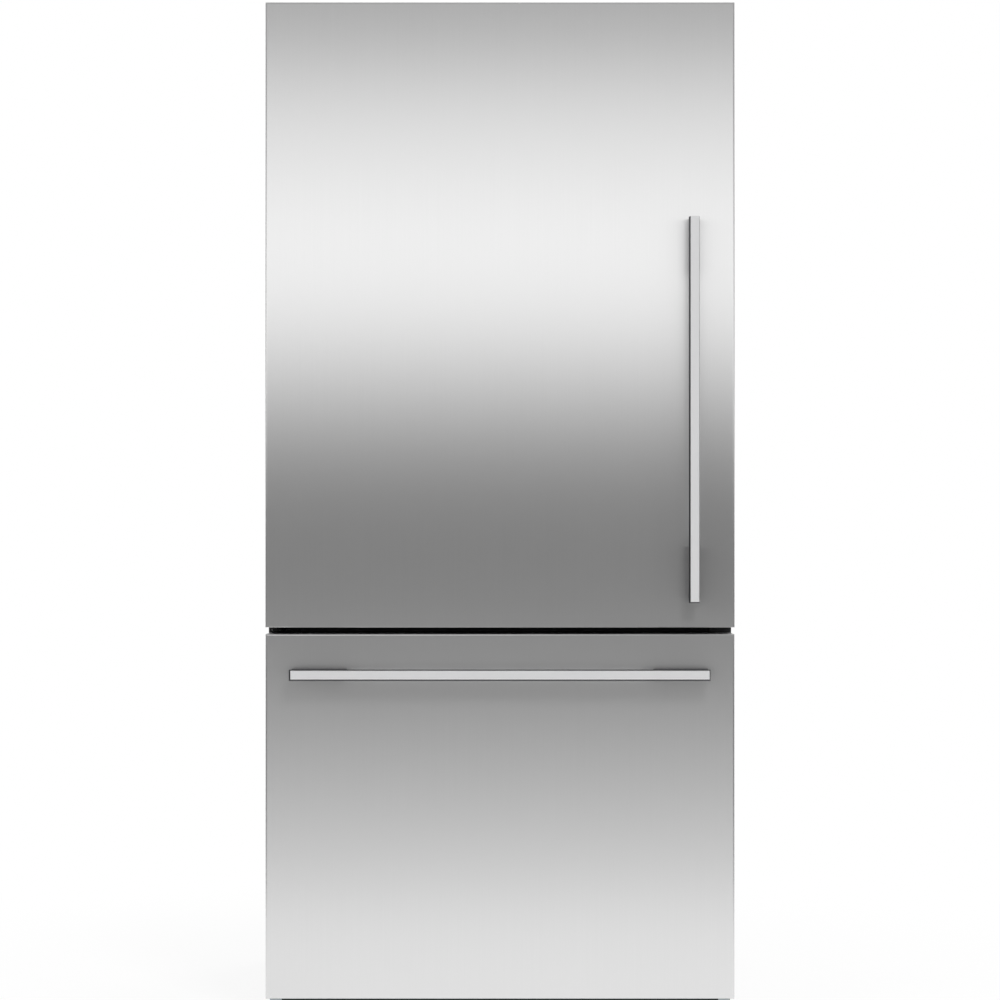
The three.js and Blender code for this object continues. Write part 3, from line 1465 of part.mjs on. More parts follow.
// A lipped channel, open towards the middle of the freezer. Distances are from the side wall.
function channel(sideSign, web, reach, halfHeight, lip, y) {
  const at = (distance) => sideSign * (freezerHalf - distance);
  const inner = halfHeight - runnerWall;
  const corners = [
    [at(web), -halfHeight], [at(reach), -halfHeight], [at(reach), -halfHeight + lip],
    [at(reach - runnerWall), -halfHeight + lip], [at(reach - runnerWall), -inner],
    [at(web + runnerWall), -inner], [at(web + runnerWall), inner], [at(reach - runnerWall), inner],
    [at(reach - runnerWall), halfHeight - lip], [at(reach), halfHeight - lip],
    [at(reach), halfHeight], [at(web), halfHeight],
  ];
  const raised = corners.map(([across, up]) => [across, runnerZ + up]);
  return pull(outline(raised), 'y', ...y);
}

const nest = runnerWall + runnerGap;
const middleHalf = runnerHalfHeight - nest;
const innerHalfHeight = middleHalf - nest;
const ledgeLevel = runnerZ + carrierHalfHeight;

// The drawer's member: a channel, a stem out of its mouth, the bin's ledge and the tab on the liner.
function runnerInner(sideSign) {
  const web = fit + 2 * nest;
  const reach = runnerReach - 2 * nest;
  const at = (distance) => sideSign * (freezerHalf - distance);
  const between = (a, b) => ordered(at(a), at(b));
  const body = channel(sideSign, web, reach, innerHalfHeight, runnerLip, runnerY);
  const back = carrierStem + carrierWall;
  const section = outline([
    [at(web), runnerZ - stemHalf], [at(carrierStem), runnerZ - stemHalf],
    [at(carrierStem), runnerZ - carrierHalfHeight], [at(back), runnerZ - carrierHalfHeight],
    [at(back), ledgeLevel - carrierWall], [at(back + carrierLedge), ledgeLevel - carrierWall],
    [at(back + carrierLedge), ledgeLevel], [at(carrierStem), ledgeLevel],
    [at(carrierStem), runnerZ + stemHalf], [at(web), runnerZ + stemHalf],
  ]);
  const front = panelBack + fit;
  const tabX = between(carrierStem, carrierStem + carrierTabWidth);
  const tab = block(
    ...tabX, front, front + carrierTabThickness,
    runnerZ - carrierTabHeight / 2, runnerZ + carrierTabHeight / 2,
  );
  const neck = block(
    ...between(carrierStem, back), front + carrierTabThickness - bite, runnerY[0] + bite,
    runnerZ - carrierHalfHeight, runnerZ + carrierHalfHeight,
  );
  return join(body, pull(section, 'y', ...runnerY), tab, neck);
}

for (const [side, sideSign] of [['left', -1], ['right', 1]]) {
  const outer = channel(sideSign, fit, runnerReach, runnerHalfHeight, runnerLip, runnerY);
  add(cabinet, `runner_outer_${side}`, outer, ...galvanised);
  const middle = groupAt(sideSign * freezerHalf, runnerY[0], runnerZ);
  const middleMember = channel(
    sideSign, fit + nest, runnerReach - nest, middleHalf, runnerLip, runnerY,
  );
  add(middle, `runner_middle_${side}`, middleMember, ...galvanised);
  add(drawer, `runner_inner_${side}`, runnerInner(sideSign), ...galvanised);
}

// ---- Freezer bin and the tray that slides on its rim ----

const binHalf = freezerHalf - carrierStem - carrierWall - carrierLedge - 1;
const binY = [panelBack + drawerDyke + binFrontGap, stepFront - binRearGap];
const binZ = [freezerFloor + binLift, ledgeLevel + fit + tubRim];
const freezerBin = tub({
  x: [-binHalf, binHalf], y: binY, z: binZ,
  radius: binCorner, draft: binDraft, sideRim: carrierLedge - 1, endRim: binEndRim,
});
add(drawer, 'freezer_bin', freezerBin, ...clearPlastic);

const trayHalf = binHalf - tubWall - traySideGap;
const trayTop = binZ[1] + fit + tubRim;
const trayFront = binY[0] + tubWall + trayFrontGap;
const trayY = [trayFront, trayFront + trayLength];
const tray = groupAt(0, trayY[0], trayTop, drawer);
const freezerTray = tub({
  x: [-trayHalf, trayHalf], y: trayY, z: [trayTop - trayHeight, trayTop],
  radius: trayCorner, draft: trayDraft, sideRim: tubWall + traySideGap + trayRimHold, endRim: 2,
});
add(tray, 'freezer_tray', freezerTray, ...whitePlastic);

export default refrigerator;
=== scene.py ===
import json
import math

import bmesh
import bpy
from mathutils import Matrix, Vector

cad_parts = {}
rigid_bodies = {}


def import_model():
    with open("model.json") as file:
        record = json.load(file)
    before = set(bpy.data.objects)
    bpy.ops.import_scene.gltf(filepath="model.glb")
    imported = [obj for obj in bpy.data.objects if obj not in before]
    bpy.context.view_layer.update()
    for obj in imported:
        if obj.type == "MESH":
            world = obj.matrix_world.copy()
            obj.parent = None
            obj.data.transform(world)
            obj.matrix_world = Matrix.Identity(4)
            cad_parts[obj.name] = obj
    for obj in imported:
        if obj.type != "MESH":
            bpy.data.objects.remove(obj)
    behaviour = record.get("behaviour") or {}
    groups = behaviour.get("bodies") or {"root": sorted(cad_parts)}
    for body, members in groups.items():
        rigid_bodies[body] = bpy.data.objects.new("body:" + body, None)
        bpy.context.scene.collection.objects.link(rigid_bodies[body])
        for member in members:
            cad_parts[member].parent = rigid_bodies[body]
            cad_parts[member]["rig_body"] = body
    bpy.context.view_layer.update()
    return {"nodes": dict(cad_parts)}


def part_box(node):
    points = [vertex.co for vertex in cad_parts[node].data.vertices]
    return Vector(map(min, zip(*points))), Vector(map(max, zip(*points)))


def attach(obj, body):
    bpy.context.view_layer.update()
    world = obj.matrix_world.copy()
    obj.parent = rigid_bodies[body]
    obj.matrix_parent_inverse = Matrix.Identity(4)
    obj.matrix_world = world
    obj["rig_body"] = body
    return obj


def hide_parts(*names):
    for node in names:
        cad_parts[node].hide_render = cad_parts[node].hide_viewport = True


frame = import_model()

# ---- Camera ----
# It stands five metres in front of the doors, level, at the height of the lower third of the upper
# door. From there the long lens sees the doors square on, filling the frame from top to bottom.

front_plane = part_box("door_skin")[0].y
camera_distance = 5.0
camera_height = 0.8766
half_view = 0.842  # half of what the lens takes in at the doors' plane


def link_up(thing):
    """Puts a new object into the scene."""
    bpy.context.scene.collection.objects.link(thing)
    return thing


camera_data = bpy.data.cameras.new("studio camera")
camera_data.angle = 2 * math.atan(half_view / camera_distance)
camera = link_up(bpy.data.objects.new("studio camera", camera_data))
camera.location = (0, front_plane - camera_distance, camera_height)
camera.rotation_euler = (math.radians(90), 0, 0)
bpy.context.scene.camera = camera

# ---- Studio: white room, pale floor, gradient panel and lamps ----
# A product studio: everything round the object is white, and the floor is pale and matt.
# A long panel behind the photographer, bright above and dim below, gives flat steel its soft bands.


def linear(code):
    """The linear value of an sRGB hex colour."""
    shares = [int(code[i:i + 2], 16) / 255 for i in (0, 2, 4)]
    return (*[c / 12.92 if c <= 0.04045 else ((c + 0.055) / 1.055) ** 2.4 for c in shares], 1)


def add(tree, kind, settings=None, links=None):
    """Adds a node. A setting goes to the input of that name, or else to the property."""
    made = tree.nodes.new(kind)
    for key, value in (settings or {}).items():
        if isinstance(key, int) or key in made.inputs:
            made.inputs[key].default_value = value
        else:
            setattr(made, key, value)
    for key, socket in (links or {}).items():
        tree.links.new(socket, made.inputs[key])
    return made


room_light = 0.62  # how strongly the white room lights matt surfaces

world = bpy.data.worlds.new("white studio")
bpy.context.scene.world = world
world.use_nodes = True
tree = world.node_tree
tree.nodes.clear()
path = add(tree, "ShaderNodeLightPath")
seen = add(tree, "ShaderNodeMath", {"operation": "ADD"}, {
    0: path.outputs["Is Camera Ray"], 1: path.outputs["Is Glossy Ray"]})
seen = add(tree, "ShaderNodeMath", {"operation": "ADD", "use_clamp": True}, {
    0: seen.outputs[0], 1: path.outputs["Is Transmission Ray"]})
around = add(tree, "ShaderNodeBackground", {"Color": linear("FFFFFF"), "Strength": room_light})
white = add(tree, "ShaderNodeBackground", {"Color": linear("FFFFFF"), "Strength": 1.0})
chosen = add(tree, "ShaderNodeMixShader", links={
    0: seen.outputs[0], 1: around.outputs[0], 2: white.outputs[0]})
add(tree, "ShaderNodeOutputWorld", links={"Surface": chosen.outputs[0]})

floor_size = 16  # metres
floor_white = 0.88  # share of the floor under the object that stays white whatever falls on it
shadow_core = 0.5  # metres from the middle of the floor to where it begins to turn all white
shadow_reach = 1.6  # metres from the middle of the floor to where it has become all white

floor_paint = bpy.data.materials.new("pale matt floor")
floor_paint.use_nodes = True
tree = floor_paint.node_tree
tree.nodes.clear()
spot = add(tree, "ShaderNodeTexCoord")
away = add(tree, "ShaderNodeVectorMath", {"operation": "LENGTH"}, {0: spot.outputs["Object"]})
fade = add(tree, "ShaderNodeMapRange", {
    "interpolation_type": "SMOOTHSTEP", "From Min": shadow_core, "From Max": shadow_reach,
    "To Min": floor_white, "To Max": 1.0}, {"Value": away.outputs["Value"]})
path = add(tree, "ShaderNodeLightPath")
mirrored = add(tree, "ShaderNodeMath", {"operation": "ADD"}, {
    0: path.outputs["Is Glossy Ray"], 1: path.outputs["Is Transmission Ray"]})
share = add(tree, "ShaderNodeMath", {"operation": "MULTIPLY_ADD", "use_clamp": True}, {
    0: path.outputs["Is Camera Ray"], 1: fade.outputs[0], 2: mirrored.outputs[0]})
matt = add(tree, "ShaderNodeBsdfDiffuse", {"Color": linear("F4F4F3")})
glow = add(tree, "ShaderNodeEmission", {"Color": linear("FFFFFF"), "Strength": 1.0})
both = add(tree, "ShaderNodeMixShader", links={
    0: share.outputs[0], 1: matt.outputs[0], 2: glow.outputs[0]})
add(tree, "ShaderNodeOutputMaterial", links={"Surface": both.outputs[0]})

bm = bmesh.new()
bmesh.ops.create_grid(bm, x_segments=1, y_segments=1, size=floor_size / 2)
floor_mesh = bpy.data.meshes.new("floor")
bm.to_mesh(floor_mesh)
bm.free()
floor_mesh.materials.append(floor_paint)
floor = link_up(bpy.data.objects.new("floor", floor_mesh))

panel_distance = 1.5  # in front of the doors
panel_width = 7.0
panel_height = 3.2
panel_bands = [  # height on the panel in metres, and brightness
    (0.0, 0.81), (0.25, 0.51), (0.5, 0.23), (0.72, 0.10), (0.88, 0.09), (1.0, 0.26), (1.15, 0.72),
    (1.3, 1.14), (1.45, 1.23), (1.6, 1.05), (1.75, 0.89), (1.95, 0.35), (3.2, 0.32),
]

panel_paint = bpy.data.materials.new("gradient panel")
panel_paint.use_nodes = True
tree = panel_paint.node_tree
tree.nodes.clear()
spot = add(tree, "ShaderNodeTexCoord")
height = add(tree, "ShaderNodeSeparateXYZ", links={0: spot.outputs["Object"]})
level = add(tree, "ShaderNodeMapRange", {"From Min": 0, "From Max": panel_height}, {
    "Value": height.outputs["Z"]})
ramp = add(tree, "ShaderNodeValToRGB", links={"Fac": level.outputs[0]})
ramp.color_ramp.interpolation = "LINEAR"
for i, (z, brightness) in enumerate(panel_bands):
    stop = ramp.color_ramp.elements[i] if i < 2 else ramp.color_ramp.elements.new(z / panel_height)
    stop.position = z / panel_height
    stop.color = (brightness, brightness, brightness, 1)
shine = add(tree, "ShaderNodeEmission", {"Strength": 1.0}, {"Color": ramp.outputs["Color"]})
add(tree, "ShaderNodeOutputMaterial", links={"Surface": shine.outputs[0]})


def card(name, paint, width, depth, axis, centre):
    """A flat card that only reflections see, turned a quarter round an axis if one is given."""
    bm = bmesh.new()
    bmesh.ops.create_grid(bm, x_segments=1, y_segments=1, size=0.5)
    bmesh.ops.scale(bm, vec=(width, depth, 1), verts=bm.verts)
    if axis:
        bmesh.ops.rotate(bm, matrix=Matrix.Rotation(math.radians(90), 3, axis), verts=bm.verts)
    bmesh.ops.translate(bm, vec=centre, verts=bm.verts)
    mesh = bpy.data.meshes.new(name)
    bm.to_mesh(mesh)
    bm.free()
    mesh.materials.append(paint)
    made = link_up(bpy.data.objects.new(name, mesh))
    made.visible_camera = made.visible_diffuse = False
    made.visible_transmission = made.visible_shadow = False


def flag_paint(name, brightness):
    """A card's even grey."""
    made = bpy.data.materials.new(name)
    made.use_nodes = True
    made.node_tree.nodes.clear()
    even = add(made.node_tree, "ShaderNodeEmission", {"Strength": brightness})
    add(made.node_tree, "ShaderNodeOutputMaterial", links={"Surface": even.outputs[0]})
    return made


card("gradient_panel", panel_paint, panel_width, panel_height, "X",
     (0, front_plane - panel_distance, panel_height / 2))
dark_flag = flag_paint("dark flag", 0.07)
for name, x in (("left_flag", -2.0), ("right_flag", 2.0)):
    card(name, dark_flag, 3.0, 2.0, "Y", (x, -0.2, 1.5))
card("ceiling_card", flag_paint("ceiling card", 0.3), 5.0, 2.4, None, (0, -0.6, panel_height))

lamps = {  # place, what it points at, width, watts
    "key lamp": ((1.2, -4.1, 4.0), (0, 0, 0.9), 1.1, 120),
    "fill lamp": ((-3.2, -2.6, 2.2), (0, 0, 0.8), 2.2, 35),
    "rear lamp": ((1.8, 3.4, 2.8), (0, 0, 0.8), 2.0, 60),
}
for name, (place, target, size, watts) in lamps.items():
    lamp_data = bpy.data.lights.new(name, "AREA")
    lamp_data.energy = watts
    lamp_data.size = size
    lamp = link_up(bpy.data.objects.new(name, lamp_data))
    lamp.location = place
    lamp.rotation_euler = (Vector(target) - Vector(place)).to_track_quat("-Z", "Y").to_euler()
    lamp.visible_glossy = lamp.visible_transmission = False

bpy.context.scene.view_settings.view_transform = "Standard"

# ---- Cabinet wrapper ----
# One sheet of pre-painted steel, folded over the sides and the top, with a narrow face round the
# mouth. The paint is light grey polyester with a fine leather grain that hides fingerprints.

mm = 0.001
weld = 0.002 * mm
flat_angle = math.radians(1)
edge_angle = math.radians(50)
crease_angle = math.radians(42)


def painter(name, **settings):
    """A new material with its one shader's settings given, and its tree."""
    made = bpy.data.materials.new(name)
    made.use_nodes = True
    shader = made.node_tree.nodes["Principled BSDF"]
    for key, value in settings.items():
        shader.inputs[key.replace("_", " ")].default_value = value
    return made, made.node_tree, shader


def grain(tree, across_mm, stretch=(1, 1, 1), detail=2.0):
    """Noise with blotches that many millimetres across, longer along an axis that is stretched."""
    spot = add(tree, "ShaderNodeTexCoord")
    fitted = add(tree, "ShaderNodeMapping", {
        "Scale": [1 / (across_mm * mm * along) for along in stretch]}, {
        "Vector": spot.outputs["Object"]})
    noise = add(tree, "ShaderNodeTexNoise", {"Scale": 1.0, "Detail": detail}, {
        "Vector": fitted.outputs["Vector"]})
    return noise.outputs["Fac"]


faint, strong = 0.3, 0.7  # nearly all of a noise lies between these


def textured(tree, shader, raised=None, rough=None, tinted=None):
    """Lets patterns raise the surface by a depth in mm, and spread its roughness and colour."""
    if raised:
        pattern, depth_mm = raised
        bump = add(tree, "ShaderNodeBump", {"Strength": 1.0, "Distance": depth_mm * mm}, {
            "Height": pattern})
        tree.links.new(bump.outputs["Normal"], shader.inputs["Normal"])
    if rough:
        pattern, low, high = rough
        spread = add(tree, "ShaderNodeMapRange", {
            "From Min": faint, "From Max": strong, "To Min": low, "To Max": high}, {
            "Value": pattern})
        tree.links.new(spread.outputs[0], shader.inputs["Roughness"])
    if tinted:
        pattern, dark, light = tinted
        spread = add(tree, "ShaderNodeMapRange", {"From Min": faint, "From Max": strong}, {
            "Value": pattern})
        colour = add(tree, "ShaderNodeMix", {
            "data_type": "RGBA", 6: linear(dark), 7: linear(light)}, {0: spread.outputs[0]})
        tree.links.new(colour.outputs[2], shader.inputs["Base Color"])


def keep(bm, name, material, body, *nodes):
    """Makes a finished bmesh a piece that rides on a body and stands for the CAD nodes named."""
    mesh = bpy.data.meshes.new(name)
    bm.to_mesh(mesh)
    bm.free()
    mesh.polygons.foreach_set("use_smooth", [True] * len(mesh.polygons))
    mesh.set_sharp_from_angle(angle=crease_angle)
    mesh.materials.append(material)
    piece = link_up(bpy.data.objects.new(name, mesh))
    level = piece.modifiers.new("level flat faces", "WEIGHTED_NORMAL")
    level.keep_sharp = True
    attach(piece, body)
    if nodes:
        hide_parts(*nodes)
    return piece


def broken_edges(bm, radius, segments=2, angle=edge_angle):
    """Takes the sharpness off every edge that turns more than the given angle."""
    edges = [e for e in bm.edges if len(e.link_faces) == 2 and e.calc_face_angle(0) > angle]
    bmesh.ops.bevel(bm, geom=edges, offset=radius, affect="EDGES", segments=segments, profile=0.5,
                    material=-1, clamp_overlap=True)


def formed(node, material, radius=0.6 * mm, rounds=(), moved=None):
    """A piece with the CAD node's shape, larger radii where rounds asks, and no sharp edge left."""
    source = frame["nodes"][node]
    bm = bmesh.new()
    bm.from_mesh(source.data)
    bmesh.ops.remove_doubles(bm, verts=bm.verts, dist=weld)
    bmesh.ops.dissolve_limit(bm, angle_limit=flat_angle, verts=bm.verts, edges=bm.edges)
    if moved:
        for v in bm.verts:
            moved(v.co)
    for chosen, large, steps in rounds:
        edges = [e for e in bm.edges if all(chosen(v.co) for v in e.verts)]
        bmesh.ops.bevel(bm, geom=edges, offset=large, affect="EDGES", segments=steps, profile=0.5,
                        material=-1, clamp_overlap=True)
    broken_edges(bm, radius)
    return keep(bm, node + "_finished", material, source["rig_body"], node)


# Coil-coated steel: the paint is half gloss, so light runs softly down the flat sides, and the
# leather grain breaks up glare. Grain that is really 0.5 mm across is drawn 1.4 mm, so it shows.
cabinet_paint, tree, shader = painter(
    "polyester-painted steel", Base_Color=linear("BABCBF"), Metallic=0.0, Roughness=0.42)
textured(tree, shader, raised=(grain(tree, 1.4, detail=3.0), 0.035),
         rough=(grain(tree, 40), 0.40, 0.44), tinted=(grain(tree, 90), "B9BBBE", "BBBDC0"))
formed("cabinet_shell", cabinet_paint)

# ---- Back sheet ----
# Galvanised steel, left bare: the zinc shows as large faint spangles. It closes the foamed body,
# a little inside the wrapper's rim, and steps forward over the compressor compartment.

# Hot-dip galvanised steel: zinc that froze in crystals, which the eye sees as flat patches a shade
# lighter or darker than each other. They are drawn 9 mm across, so that they show.
galvanised, tree, shader = painter(
    "galvanised steel", Base_Color=linear("A9AEB1"), Metallic=1.0, Roughness=0.42)
spot = add(tree, "ShaderNodeTexCoord")
spangle = add(tree, "ShaderNodeTexVoronoi", {"Scale": 1 / (9 * mm)}, {
    "Vector": spot.outputs["Object"]})
crystal = add(tree, "ShaderNodeSeparateColor", links={0: spangle.outputs["Color"]})
textured(tree, shader, rough=(crystal.outputs[1], 0.40, 0.45),
         tinted=(crystal.outputs[0], "A6ABAE", "AEB3B6"))

near = 0.2 * mm  # a point this close to a plane lies in it
back_inset = 2.2 * mm
back_layer = 4 * mm  # what lies this close to the back's plane is set in with it
back_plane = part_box("back_panel")[1].y
sheet_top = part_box("back_panel")[1].z
sheet_corners = 0.39  # metres from the middle: only the sheet's corners reach further out
wrapper_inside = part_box("cabinet_shell")[1].z - 1.3 * mm


def set_in(p):
    """Moves what lies in the back's plane inwards, so that screw heads stay within the rim."""
    if p.y > back_plane - back_layer:
        p.y -= back_inset


def seat_back_sheet(p):
    """Sets the sheet in, and takes its upper edge up to the wrapper's top."""
    set_in(p)
    if p.z > sheet_top - near:
        p.z = wrapper_inside


formed("back_panel", galvanised, 0.3 * mm, [
    (lambda p: p.z > wrapper_inside - near and abs(p.x) > sheet_corners, 4 * mm, 4),
], seat_back_sheet)

# ---- Screws of the back sheet and the machine cover ----
# Zinc-plated sheet-metal screws with a hexagon on a pressed washer, driven along the edges.
# They bite into the wrapper's folded rear edges.

# Bright zinc plating: smoother than the sheet, so that the small heads glint.
zinc, tree, shader = painter(
    "zinc-plated screw steel", Base_Color=linear("9FA09B"), Metallic=1.0, Roughness=0.25)
textured(tree, shader, rough=(grain(tree, 1.5), 0.18, 0.32),
         tinted=(grain(tree, 3), "90928C", "ABADA8"))

screw_layers = [  # sides, then radius at the foot and the top and height, as shares of the size
    (20, 0.72, 0.66, 0.08),  # the pressed washer
    (6, 0.5, 0.48, 0.19),  # the hexagon
]


def screw_heads(name, places, outward, size_mm, material=zinc):
    """Hexagon heads on round washers, standing out of a surface at each place."""
    turn = Vector((0, 0, 1)).rotation_difference(Vector(outward)).to_matrix().to_4x4()
    bm = bmesh.new()
    for place in places:
        seat = Matrix.Translation(Vector(place)) @ turn
        level = 0
        for sides, foot, top, share in screw_layers:
            height = share * size_mm * mm
            bmesh.ops.create_cone(
                bm, cap_ends=True, segments=sides, radius1=size_mm * foot * mm,
                radius2=size_mm * top * mm, depth=height,
                matrix=seat @ Matrix.Translation((0, 0, level + height / 2)))
            level += height
    keep(bm, name, material, "cabinet")


back_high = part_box("back_panel")[1]
cover_low, cover_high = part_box("rear_cover")
screw_size = 8  # millimetres from corner to corner of the hexagon
screw_inset = 14 * mm
seat_y = back_high.y - back_inset
edge_x = back_high.x - screw_inset
rows = 7
places = []
for i in range(rows):
    z = cover_high.z + screw_inset + i * (back_high.z - cover_high.z - 2 * screw_inset) / (rows - 1)
    places += [(-edge_x, seat_y, z), (edge_x, seat_y, z)]
for x in (-0.5, 0, 0.5):
    places.append((edge_x * x, seat_y, back_high.z - screw_inset))
    places.append((edge_x * x, seat_y, cover_high.z + screw_inset))
screw_heads("back_sheet_screws", places, (0, 1, 0), screw_size)

screw_heads("machine_cover_screws", [
    (edge_x * x, seat_y, z)
    for z in (cover_low.z + screw_inset, cover_high.z - screw_inset) for x in (-1, -0.34, 0.34, 1)
], (0, 1, 0), screw_size)

# ---- Foam plugs ----
# Black plugs in the back sheet close the holes that the foam was poured through.
# They are moulded polyethylene, round, with a shallow dish in the middle.

# Polypropylene from a spark-eroded mould: a dull, slightly uneven black with a fine pebble.
black_plastic, tree, shader = painter(
    "black polypropylene", Base_Color=linear("1B1C1D"), Roughness=0.5, IOR=1.49)
textured(tree, shader, raised=(grain(tree, 0.9, detail=3.0), 0.03),
         rough=(grain(tree, 25), 0.45, 0.58))

facing = {  # the turn that lays an upright axis along each direction
    "Z": Matrix.Identity(4),
    "X": Matrix.Rotation(math.radians(90), 4, "Y"),
    "Y": Matrix.Rotation(math.radians(-90), 4, "X"),
}


def spun(bm, profile, centre, axis, steps):
    """Turns a closed or pole-to-pole profile of (radius, height) round an axis through a centre."""
    seat = Matrix.Translation(Vector(centre)) @ facing[axis]
    points = [bm.verts.new(seat @ Vector((r * mm, 0, h * mm))) for r, h in profile]
    pairs = list(zip(points, points[1:]))
    if profile[0][0] > 0 or profile[-1][0] > 0:
        pairs.append((points[-1], points[0]))
    line = [bm.edges.new(pair) for pair in pairs]
    bmesh.ops.spin(bm, geom=points + line, cent=centre, axis=seat.to_3x3() @ Vector((0, 0, 1)),
                   angle=2 * math.pi, steps=steps, use_merge=True)
    bmesh.ops.remove_doubles(bm, verts=bm.verts, dist=weld)
    bmesh.ops.recalc_face_normals(bm, faces=bm.faces)


plug_profile = [  # radius, and height over the sheet, in millimetres
    (0, 0.6), (9, 0.6), (11, 1.6), (14, 1.4), (15.5, 0.6), (15.5, -0.3), (0, -0.3)]
bm = bmesh.new()
for z in (0.6, 1.4):
    for x in (-0.24, 0.24):
        spun(bm, plug_profile, (x, seat_y, z), "Y", 40)
keep(bm, "foam_plugs", black_plastic, "cabinet")

# ---- Insulation ----
# Rigid polyurethane foam, poured between the sheets and the liners, and hidden by them.
# It is pale yellow, with a skin of fine closed cells.

# Poured polyurethane: matt and pitted, with cells drawn 1.6 mm across, wider than they are.
foam, tree, shader = painter("rigid polyurethane foam", Base_Color=linear("E6DBAE"), Roughness=0.9)
spot = add(tree, "ShaderNodeTexCoord")
cells = add(tree, "ShaderNodeTexVoronoi", {"Scale": 1 / (1.6 * mm)}, {
    "Vector": spot.outputs["Object"]})
textured(tree, shader, raised=(cells.outputs["Distance"], 0.25),
         tinted=(grain(tree, 30), "DFD3A2", "ECE2BA"))


def dress(node, material):
    """Gives a CAD node that shows its own shape a real finish."""
    frame["nodes"][node].data.materials.clear()
    frame["nodes"][node].data.materials.append(material)


for node in ("door_foam", "drawer_foam"):
    dress(node, foam)
formed("insulation_foam", foam, 0.3 * mm, moved=set_in)

# ---- Liners of the two compartments ----
# High-impact polystyrene sheet, vacuum-formed in one piece with its shelf ribs, so that every
# corner is generously round. It is white, half gloss, and very slightly wavy.

# Vacuum-formed polystyrene: stretched while soft, so it shines like satin with a faint waviness.
liner_white, tree, shader = painter(
    "vacuum-formed polystyrene", Base_Color=linear("EEF0F1"), Roughness=0.3, IOR=1.59)
textured(tree, shader, raised=(grain(tree, 2.6), 0.02), rough=(grain(tree, 40), 0.28, 0.34),
         tinted=(grain(tree, 160), "EDEFF0", "F0F2F3"))

fridge_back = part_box("fridge_liner")[1].y
liner_wall = 2 * mm
formed("fridge_liner", liner_white, 1.0 * mm, [
    (lambda p: abs(p.y - fridge_back) < near, 20 * mm, 6),
    (lambda p: abs(p.y - fridge_back + liner_wall) < near, 18 * mm, 6),
])

freezer_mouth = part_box("freezer_liner")[0].y + 3 * mm
freezer_side = 330 * mm
formed("freezer_liner", liner_white, 1.0 * mm, [
    (lambda p: abs(abs(p.x) - freezer_side) < near and p.y > freezer_mouth, 16 * mm, 5),
])

# ---- Rail between the compartments ----
# A painted steel strip across the cabinet's face, where both magnetic seals meet, with a black
# block on each end over the wrapper's grey face. The rail's black is its enamel and also painted
# shade for the deep gap between door and drawer; the end blocks are painted shade only, so the gap
# reads dark.

# Black baked enamel over steel: deep and half gloss, with the slight orange peel of sprayed paint.
black_steel, tree, shader = painter(
    "black enamelled steel", Base_Color=linear("0C0D0E"), Metallic=0.0, Roughness=0.38, IOR=1.5,
    Specular_IOR_Level=0.2)
textured(tree, shader, raised=(grain(tree, 2.4), 0.03), rough=(grain(tree, 20), 0.33, 0.45))
# The rail's black enamel also stands in for the shade deep in the gap: painted shade.
formed("mullion_rail", black_steel, 0.3 * mm)

rail_low, rail_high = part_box("mullion_rail")
shell_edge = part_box("cabinet_shell")[1].x
hinge_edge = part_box("centre_hinge_bracket")[0].x
seal_gap = 1 * mm
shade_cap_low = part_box("drawer_gasket")[1].z + seal_gap
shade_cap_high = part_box("door_gasket")[0].z - seal_gap
shade_cap_y = rail_low.y - 1.0 * mm
shade_cap_thickness = 1.8 * mm
# Black blocks over the wrapper's grey face at both ends of the rail: painted shade, standing for
# the shade in the gap.
bm = bmesh.new()
for x0, x1 in ((-shell_edge + 0.3 * mm, hinge_edge - 0.2 * mm),
               (rail_high.x + 0.1 * mm, shell_edge - 0.4 * mm)):
    made = bmesh.ops.create_cube(bm, size=1)["verts"]
    bmesh.ops.scale(bm, vec=(x1 - x0, shade_cap_thickness, shade_cap_high - shade_cap_low), verts=made)
    bmesh.ops.translate(bm, vec=((x0 + x1) / 2, shade_cap_y, (shade_cap_low + shade_cap_high) / 2), verts=made)
broken_edges(bm, 0.4 * mm)
keep(bm, "black_shade_caps_at_rail_ends", black_plastic, "cabinet")

# ---- Hinges ----
# Two pressed steel brackets hold the door's pins: the upper one lies on the cabinet's top under a
# grey snap-on cover, and the middle one is screwed to the rail's end.

# Injection-moulded ABS from a textured mould: an even light grey that hides finger marks.
grey_plastic, tree, shader = painter(
    "grey moulded ABS", Base_Color=linear("BFC2C6"), Roughness=0.42, IOR=1.54)
textured(tree, shader, raised=(grain(tree, 1.2, detail=3.0), 0.03),
         rough=(grain(tree, 22), 0.38, 0.48), tinted=(grain(tree, 60), "BDC0C4", "C3C6CA"))

formed("top_hinge_bracket", galvanised, 0.5 * mm)
cover_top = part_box("top_hinge_cover")[1].z
formed("top_hinge_cover", grey_plastic, 0.8 * mm, [
    (lambda p: abs(p.z - cover_top) < near, 3 * mm, 4),
])
# The middle bracket and its screws are black enamel, and their black also stands in for the shade
# of the gap they sit in: painted shade.
formed("centre_hinge_bracket", black_steel, 0.5 * mm)

centre_low, centre_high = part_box("centre_hinge_bracket")
middle_z = (centre_low.z + centre_high.z) / 2
plate_front = centre_high.y - 4 * mm
plate_screw_x = centre_high.x - 9 * mm
screw_heads("centre_hinge_screws", [
    (plate_screw_x, plate_front, middle_z + rise) for rise in (6 * mm, -6 * mm)
], (0, -1, 0), 6, black_steel)

# ---- Base: frame, grille, feet and rollers ----
# A folded galvanised tray carries the cabinet. Two screw feet stand at the front, and two rollers
# at the back let it be wheeled into place. A black slotted grille hides the gap under the drawer.

formed("base_frame", galvanised, 0.4 * mm)
formed("toe_grille", black_plastic, 0.5 * mm)

# Moulded rubber: matt, dark grey more than black, a little chalky where it was handled.
rubber, tree, shader = painter(
    "hard black rubber", Base_Color=linear("202021"), Roughness=0.75, IOR=1.5)
textured(tree, shader, raised=(grain(tree, 1.0, detail=3.0), 0.05),
         tinted=(grain(tree, 14), "1C1C1D", "272727"))

